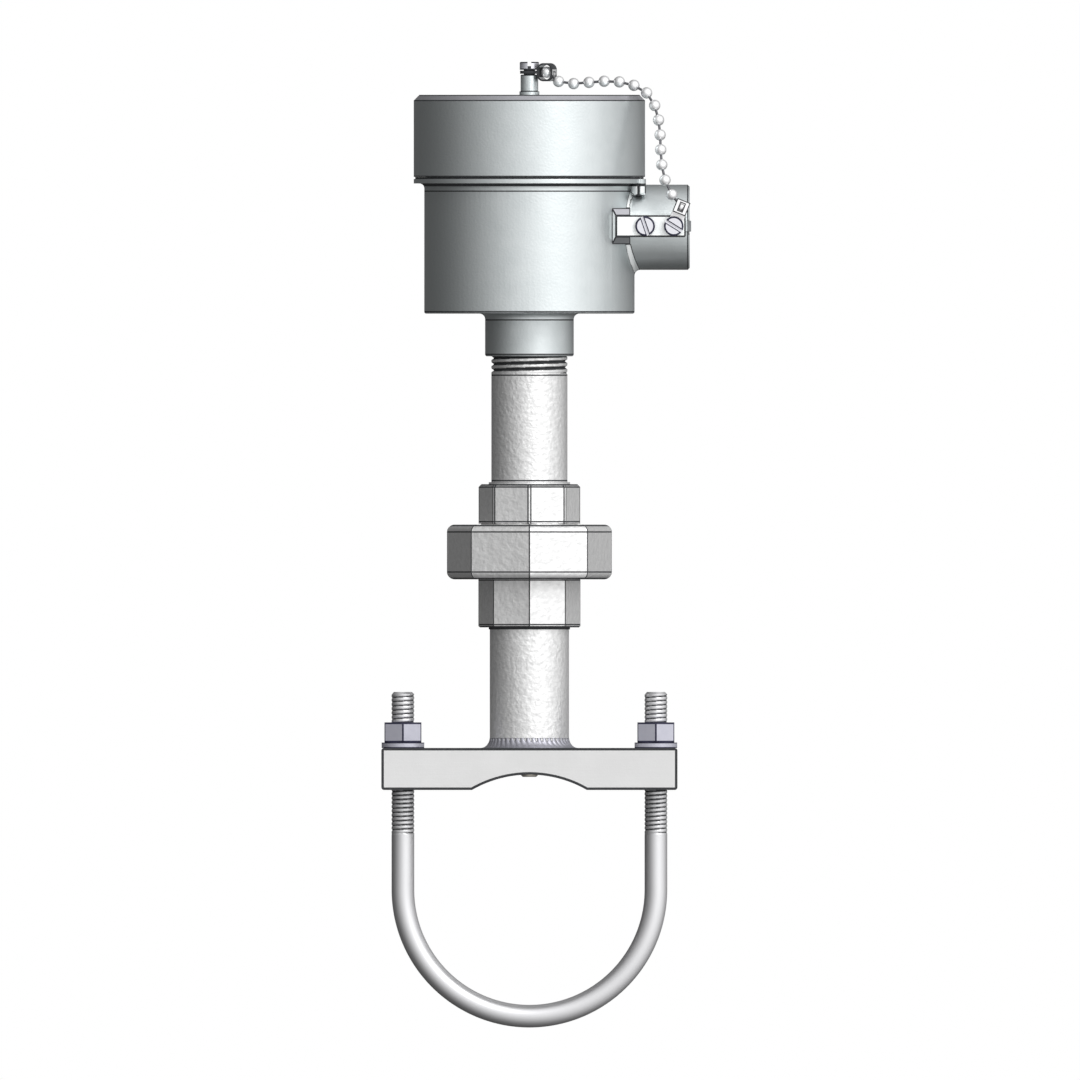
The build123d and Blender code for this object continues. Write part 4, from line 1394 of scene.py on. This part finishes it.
@dataclass
class BeadChain:
    """The bead chain from the cover's link to the clamp, with both end pieces."""

    route: tuple[tuple[float, float, float], ...] = (
        (6.119, -2.472, 287.65),
        (11.159, -4.630, 284.1),
        (21.164, -7.747, 284.1),
        (32.56, -11.584, 284.1),
        (41.3, -15.420, 280.3),
        (45.65, -19.736, 269.424),
        (46.55, -25.251, 255.195),
        (53.497, -26.45, 240.176),
    )
    bead_radius: float = 2.0
    bead_pitch: float = 5.6
    pole_share: float = 0.985
    bead_rows: int = 18
    bead_steps: int = 36
    corner_bead: int = 7
    link_heading: float = -22.0
    edge_line: float = 0.35
    end_facing: float = 0.95
    end_depth: float = 0.1
    inner_facing: float = 0.5
    wire_radius: float = 0.45
    wire_sides: int = 16
    samples: int = 4001

    def build(self) -> None:
        """Build the chain and its end pieces."""
        self._link()
        self._clamp()
        self._chain()

    def _link(self) -> None:
        """Build the bent strap, painted as shade on its outer faces apart from its end face, which gets a
        painted shade line round it.
        """
        mesh = solid_copy("chain_upper_link", "chain_link_bent")
        turn = math.radians(self.link_heading)
        ahead = np.array([math.cos(turn), math.sin(turn), 0.0])

        def in_sight(at: Faces) -> np.ndarray:
            """Tell which faces belong to the strap's outer end."""
            along = at.middles @ ahead
            return (at.normals @ ahead > self.end_facing) & (along > along.max() - self.end_depth)

        trim(mesh, 1, in_sight(Faces.of(mesh)), self.edge_line)
        at = Faces.of(mesh)
        centre = (at.middles.max(axis=0) + at.middles.min(axis=0)) / 2
        inner = ((at.middles - centre) * at.normals).sum(axis=1) < 0
        paint(mesh, 1, ~(in_sight(at) & (at.numbers == 0)) & ~inner)
        stand_for("chain_upper_link", "chain_link_bent", mesh, CHAIN_STEEL, EDGE_SHADE)

    def _clamp(self) -> None:
        """Build the lower clamp with painted shade lines round its front and painted shade on the inner
        walls of its cage.
        """
        mesh = solid_copy("chain_lower_clamp", "chain_clamp_bent")
        at = Faces.of(mesh)
        front = (at.normals[:, 1] < FRONT_FACING) & (at.y < at.y.min() + BESIDE)
        trim(mesh, 1, front, self.edge_line)
        at = Faces.of(mesh)
        inner = np.abs(at.normals[:, 1]) < self.inner_facing
        paint(mesh, 1, inner & (at.y < at.y.min() + 2 * self.edge_line))
        stand_for("chain_lower_clamp", "chain_clamp_bent", mesh, CHAIN_STEEL, EDGE_SHADE)

    def _places(self) -> np.ndarray:
        """Give the middles of the beads, spaced evenly along the route."""
        corners = np.array(self.route)
        along = np.concatenate([[0.0], np.cumsum(np.linalg.norm(np.diff(corners, axis=0), axis=1))])
        steps = np.diff(along)
        count = len(corners)
        system = np.zeros((count, count))
        known = np.zeros((count, 3))
        for row in range(1, count - 1):
            system[row, row - 1 : row + 2] = (steps[row - 1], 2 * (steps[row - 1] + steps[row]), steps[row])
            rise_after = (corners[row + 1] - corners[row]) / steps[row]
            rise_before = (corners[row] - corners[row - 1]) / steps[row - 1]
            known[row] = 6 * (rise_after - rise_before)
        system[0, :3] = (steps[1], -steps[0] - steps[1], steps[0])
        system[-1, -3:] = (steps[-1], -steps[-1] - steps[-2], steps[-2])
        bends = np.linalg.solve(system, known)
        at = np.linspace(0, along[-1], self.samples)
        row = np.clip(np.searchsorted(along, at) - 1, 0, count - 2)
        step = steps[row][:, None]
        ahead = (at - along[row])[:, None]
        behind = (along[row + 1] - at)[:, None]
        line = (bends[row] * behind**3 + bends[row + 1] * ahead**3) / (6 * step)
        line += (corners[row] / step - bends[row] * step / 6) * behind
        line += (corners[row + 1] / step - bends[row + 1] * step / 6) * ahead
        reach = np.concatenate([[0.0], np.cumsum(np.linalg.norm(np.diff(line, axis=0), axis=1))])
        gaps = round(reach[-1] / self.bead_pitch)
        marks = np.linspace(0, reach[-1], gaps + 1)
        return np.column_stack([np.interp(marks, reach, line[:, axis]) for axis in range(3)])

    def _bead(self) -> bpy.types.Object:
        """Make one bead, a little flat where its wires leave it."""
        pole = self.bead_radius * self.pole_share
        outline: Outline = [(0.0, -pole)]
        for row in range(1, self.bead_rows):
            turn = math.pi * row / self.bead_rows - math.pi / 2
            outline.append((self.bead_radius * math.cos(turn), self.bead_radius * math.sin(turn)))
        outline.append((0.0, pole))
        mesh = turned("bead_shape", outline, self.bead_steps)
        mesh.polygons.foreach_set("use_smooth", [True] * len(mesh.polygons))
        return bpy.data.objects.new("bead_shape", mesh)

    @staticmethod
    def _tree() -> bpy.types.NodeTree:
        """Build the node group that strings beads on a wire."""
        inputs = {"Geometry": "Geometry", "Bead": "Object", "Wire radius": "Float", "Wire sides": "Int"}
        steps = {
            "points": Step("GeometryNodeCurveToPoints", {"mode": "EVALUATED"}),
            "bead": Step("GeometryNodeObjectInfo"),
            "beads": Step("GeometryNodeInstanceOnPoints"),
            "profile": Step("GeometryNodeCurvePrimitiveCircle"),
            "wire": Step("GeometryNodeCurveToMesh", values={"Fill Caps": True}),
            "joined": Step("GeometryNodeJoinGeometry"),
        }
        links = (
            ("given", "Geometry", "points", "Curve"),
            ("given", "Bead", "bead", "Object"),
            ("points", "Points", "beads", "Points"),
            ("points", "Rotation", "beads", "Rotation"),
            ("bead", "Geometry", "beads", "Instance"),
            ("given", "Wire radius", "profile", "Radius"),
            ("given", "Wire sides", "profile", "Resolution"),
            ("given", "Geometry", "wire", "Curve"),
            ("profile", "Curve", "wire", "Profile Curve"),
            ("wire", "Mesh", "joined", "Geometry"),
            ("beads", "Instances", "joined", "Geometry"),
            ("joined", "Geometry", "real", "Geometry"),
        )
        return node_group("bead_string", inputs, steps, links)

    def _chain(self) -> None:
        """String the beads and let them follow both ends of the chain."""
        places = self._places()
        line = bpy.data.curves.new("chain_line", "CURVE")
        line.dimensions = "3D"
        spline = line.splines.new("POLY")
        spline.points.add(len(places) - 1)
        for point, place in zip(spline.points, places * MM):
            point.co = (*place, 1.0)
        string = place_object("chain_line", line)
        bead = self._bead()
        inputs = {
            "Bead": bead,
            "Wire radius": self.wire_radius * MM,
            "Wire sides": self.wire_sides,
            "Finish": CHAIN_STEEL.material(),
        }
        mesh = grown(string, self._tree(), inputs)
        mesh.materials.clear()
        for finish in (CHAIN_STEEL, CHAIN_WIRE):
            mesh.materials.append(finish.material())
        at = Faces.of(mesh)
        nearest = np.linalg.norm(at.middles[:, None, :] - places[None, :, :], axis=2).min(axis=1)
        paint(mesh, 1, nearest > self.bead_radius + NEAR)
        chain = place_object("chain_of_beads", mesh)
        bpy.data.objects.remove(string)
        bpy.data.objects.remove(bead)
        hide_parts("bead_chain")
        upper = tuple(places[self.corner_bead] * MM)
        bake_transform(chain, "head", "chain_end", start=tuple(places[-1] * MM), end=upper)
        self._hold_beads_whole(chain, places)
        log.info("%s stands for %s with %d beads", chain.name, "bead_chain", len(places))

    @staticmethod
    def _hold_beads_whole(chain: bpy.types.Object, places: np.ndarray) -> None:
        """Let each bead follow as one piece, so that only the wires between them stretch."""
        points = np.empty(len(chain.data.vertices) * 3)
        chain.data.vertices.foreach_get("co", points)
        points = points.reshape(-1, 3) / MM
        nearest = np.linalg.norm(points[:, None, :] - places[None, :, :], axis=2).argmin(axis=1)
        shares = chain.data.attributes["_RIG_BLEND"]
        values = np.empty(len(points))
        shares.data.foreach_get("value", values)
        for bead in range(len(places)):
            values[nearest == bead] = values[nearest == bead].mean()
        shares.data.foreach_set("value", values)


@dataclass
class MeasuringInsert:
    """The measuring insert inside the head and the neck."""

    spring_turns: float = 5.0
    spring_radius: float = 2.4
    spring_wire_radius: float = 0.4
    spring_spacing: float = 33.0
    coil_steps: int = 40
    wire_sides: int = 12
    squash_keep: float = 8 / 12
    finishes: dict[str, Finish] = field(
        default_factory=lambda: {
            "insert_plate": SHEATH_STEEL,
            "terminal_block": CERAMIC,
            "terminal_clamps": TERMINAL_BRASS,
            "terminal_screws": TERMINAL_BRASS,
            "sensor_leads": COPPER_LEAD,
            "insert_screws": SCREW_STEEL,
            "sheath_ferrule": SHEATH_STEEL,
            "sensor_sheath": SHEATH_STEEL,
            "sensor_tip": TIP_SILVER,
        }
    )

    def build(self) -> None:
        """Dress the insert's nodes and wind its springs."""
        for node, finish in self.finishes.items():
            dress_node(node, finish)
        self._springs()

    def _tree(self) -> bpy.types.NodeTree:
        """Build the node group that winds the springs."""
        inputs = dict.fromkeys(("Turns", "Coil radius", "Height", "Wire radius", "Spacing"), "Float")
        steps = {
            "coil": Step("GeometryNodeCurveSpiral", values={"Resolution": self.coil_steps}),
            "profile": Step("GeometryNodeCurvePrimitiveCircle", values={"Resolution": self.wire_sides}),
            "wire": Step("GeometryNodeCurveToMesh", values={"Fill Caps": True}),
            "pair": Step("GeometryNodeMeshLine", values={"Count": 2}),
            "half": Step("ShaderNodeMath", {"operation": "MULTIPLY"}, {1: -0.5}),
            "first": Step("ShaderNodeCombineXYZ"),
            "offset": Step("ShaderNodeCombineXYZ"),
            "placed": Step("GeometryNodeInstanceOnPoints"),
        }
        links = (
            ("given", "Turns", "coil", "Rotations"),
            ("given", "Coil radius", "coil", "Start Radius"),
            ("given", "Coil radius", "coil", "End Radius"),
            ("given", "Height", "coil", "Height"),
            ("given", "Wire radius", "profile", "Radius"),
            ("coil", "Curve", "wire", "Curve"),
            ("profile", "Curve", "wire", "Profile Curve"),
            ("given", "Spacing", "half", 0),
            ("half", "Value", "first", "X"),
            ("given", "Spacing", "offset", "X"),
            ("first", "Vector", "pair", "Start Location"),
            ("offset", "Vector", "pair", "Offset"),
            ("pair", "Mesh", "placed", "Points"),
            ("wire", "Mesh", "placed", "Instance"),
            ("placed", "Instances", "real", "Geometry"),
        )
        return node_group("spring_pair", inputs, steps, links)

    def _springs(self) -> None:
        """Wind both springs between the plate and the heads of its screws."""
        low, high = low_high("insert_springs")
        carrier = place_object("spring_carrier", bpy.data.meshes.new("spring_carrier"))
        inputs = {
            "Turns": self.spring_turns,
            "Coil radius": self.spring_radius * MM,
            "Height": (high - low - 2 * self.spring_wire_radius) * MM,
            "Wire radius": self.spring_wire_radius * MM,
            "Spacing": self.spring_spacing * MM,
            "Finish": SPRING_STEEL.material(),
        }
        mesh = grown(carrier, self._tree(), inputs)
        bpy.data.objects.remove(carrier)
        mesh.transform(Matrix.Translation((0, 0, (low + self.spring_wire_radius) * MM)))
        mesh.polygons.foreach_set("use_smooth", [True] * len(mesh.polygons))
        springs = place_object("insert_spring_pair", mesh)
        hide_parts("insert_springs")
        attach(springs, body_of("insert_springs"))
        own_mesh(springs)
        log.info("%s stands for %s with %d faces", springs.name, "insert_springs", len(mesh.polygons))


@dataclass
class Studio:
    """The pale floor, the soft light and the camera."""

    view_width: float = 380.0
    view_x: float = 3.73
    view_z: float = 123.06
    camera_distance: float = 1500.0
    floor_size: float = 6000.0
    floor_gap: float = 0.2
    floor_roughness: float = 0.9
    sky_low: float = 0.09
    sky_gain: float = 1.5
    sky_power: float = 2.2
    sky_azimuth: float = 36.0
    sky_elevation: float = 25.0
    backdrop: float = 1.0
    lamp_place: tuple[float, float, float] = (700.0, -1200.0, 1000.0)
    lamp_width: float = 700.0
    lamp_power: float = 9.0

    def build(self) -> None:
        """Set up the studio."""
        bpy.context.scene.view_settings.view_transform = "Standard"
        self._camera()
        self._floor()
        self._sky()
        self._lamp()

    def _camera(self) -> None:
        """Place the camera square to the front."""
        lens = bpy.data.cameras.new("front_camera")
        lens.type = "ORTHO"
        lens.ortho_scale = self.view_width * MM
        camera = place_object("front_camera", lens)
        camera.location = (self.view_x * MM, -self.camera_distance * MM, self.view_z * MM)
        camera.rotation_euler = (math.pi / 2, 0, 0)
        bpy.context.scene.camera = camera

    def _floor(self) -> None:
        """Lay the floor just under the bolt."""
        half = self.floor_size / 2
        height = low_high("u_bolt")[0] - self.floor_gap
        sides = ((-half, -half), (half, -half), (half, half), (-half, half))
        mesh = mesh_from("floor", np.array([(*side, height) for side in sides]), [(0, 1, 2, 3)])
        material = bpy.data.materials.new("pale_floor")
        material.use_nodes = True
        shader = material.node_tree.nodes["Principled BSDF"]
        shader.inputs["Base Color"].default_value = screen_colour(FLOOR_TONE)
        shader.inputs["Roughness"].default_value = self.floor_roughness
        mesh.materials.append(material)
        floor = place_object("floor", mesh)
        floor.visible_glossy = False
        floor.visible_diffuse = False

    def _sky(self) -> None:
        """Light the object with a soft sky that is bright to the front right and above."""
        world = bpy.data.worlds.new("studio_sky")
        bpy.context.scene.world = world
        world.use_nodes = True
        world.node_tree.nodes.clear()
        azimuth = math.radians(self.sky_azimuth)
        rise = math.radians(self.sky_elevation)
        towards = (
            math.sin(azimuth) * math.cos(rise),
            -math.cos(azimuth) * math.cos(rise),
            math.sin(rise),
        )
        levels = {"To Min": self.sky_low, "To Max": self.sky_low + self.sky_gain}
        steps = {
            "place": Step("ShaderNodeTexCoord"),
            "aim": Step("ShaderNodeVectorMath", {"operation": "DOT_PRODUCT"}, {1: towards}),
            "share": Step("ShaderNodeMapRange", values={"From Min": -1.0}),
            "power": Step("ShaderNodeMath", {"operation": "POWER"}, {1: self.sky_power}),
            "level": Step("ShaderNodeMapRange", values=levels),
            "soft": Step("ShaderNodeBackground", values={"Color": WHITE}),
            "plain": Step("ShaderNodeBackground", values={"Color": WHITE, "Strength": self.backdrop}),
            "path": Step("ShaderNodeLightPath"),
            "mix": Step("ShaderNodeMixShader"),
            "output": Step("ShaderNodeOutputWorld"),
        }
        links = (
            ("place", "Generated", "aim", 0),
            ("aim", "Value", "share", "Value"),
            ("share", "Result", "power", 0),
            ("power", "Value", "level", "Value"),
            ("level", "Result", "soft", "Strength"),
            ("path", "Is Camera Ray", "mix", "Fac"),
            ("soft", "Background", "mix", 1),
            ("plain", "Background", "mix", 2),
            ("mix", "Shader", "output", "Surface"),
        )
        fill_tree(world.node_tree, steps, links)

    def _lamp(self) -> None:
        """Hang one soft lamp that looks at the middle of the object."""
        light = bpy.data.lights.new("key_light", "AREA")
        light.size = self.lamp_width * MM
        light.energy = self.lamp_power
        lamp = place_object("key_light", light)
        lamp.location = Vector(self.lamp_place) * MM
        aim = Vector((0, 0, self.view_z * MM)) - lamp.location
        lamp.rotation_euler = aim.to_track_quat("-Z", "Y").to_euler()
        lamp.visible_camera = False


def main() -> None:
    """Build the studio and every sub-assembly."""
    logging.basicConfig(level=logging.INFO, format="%(name)s: %(message)s")
    Studio().build()
    for assembly in (NeckPipes(), Union(), LineClamp(), ConnectionHead(), BeadChain(), MeasuringInsert()):
        assembly.build()
        log.info("%s is built", type(assembly).__name__)


if __name__ == "__main__":
    main()
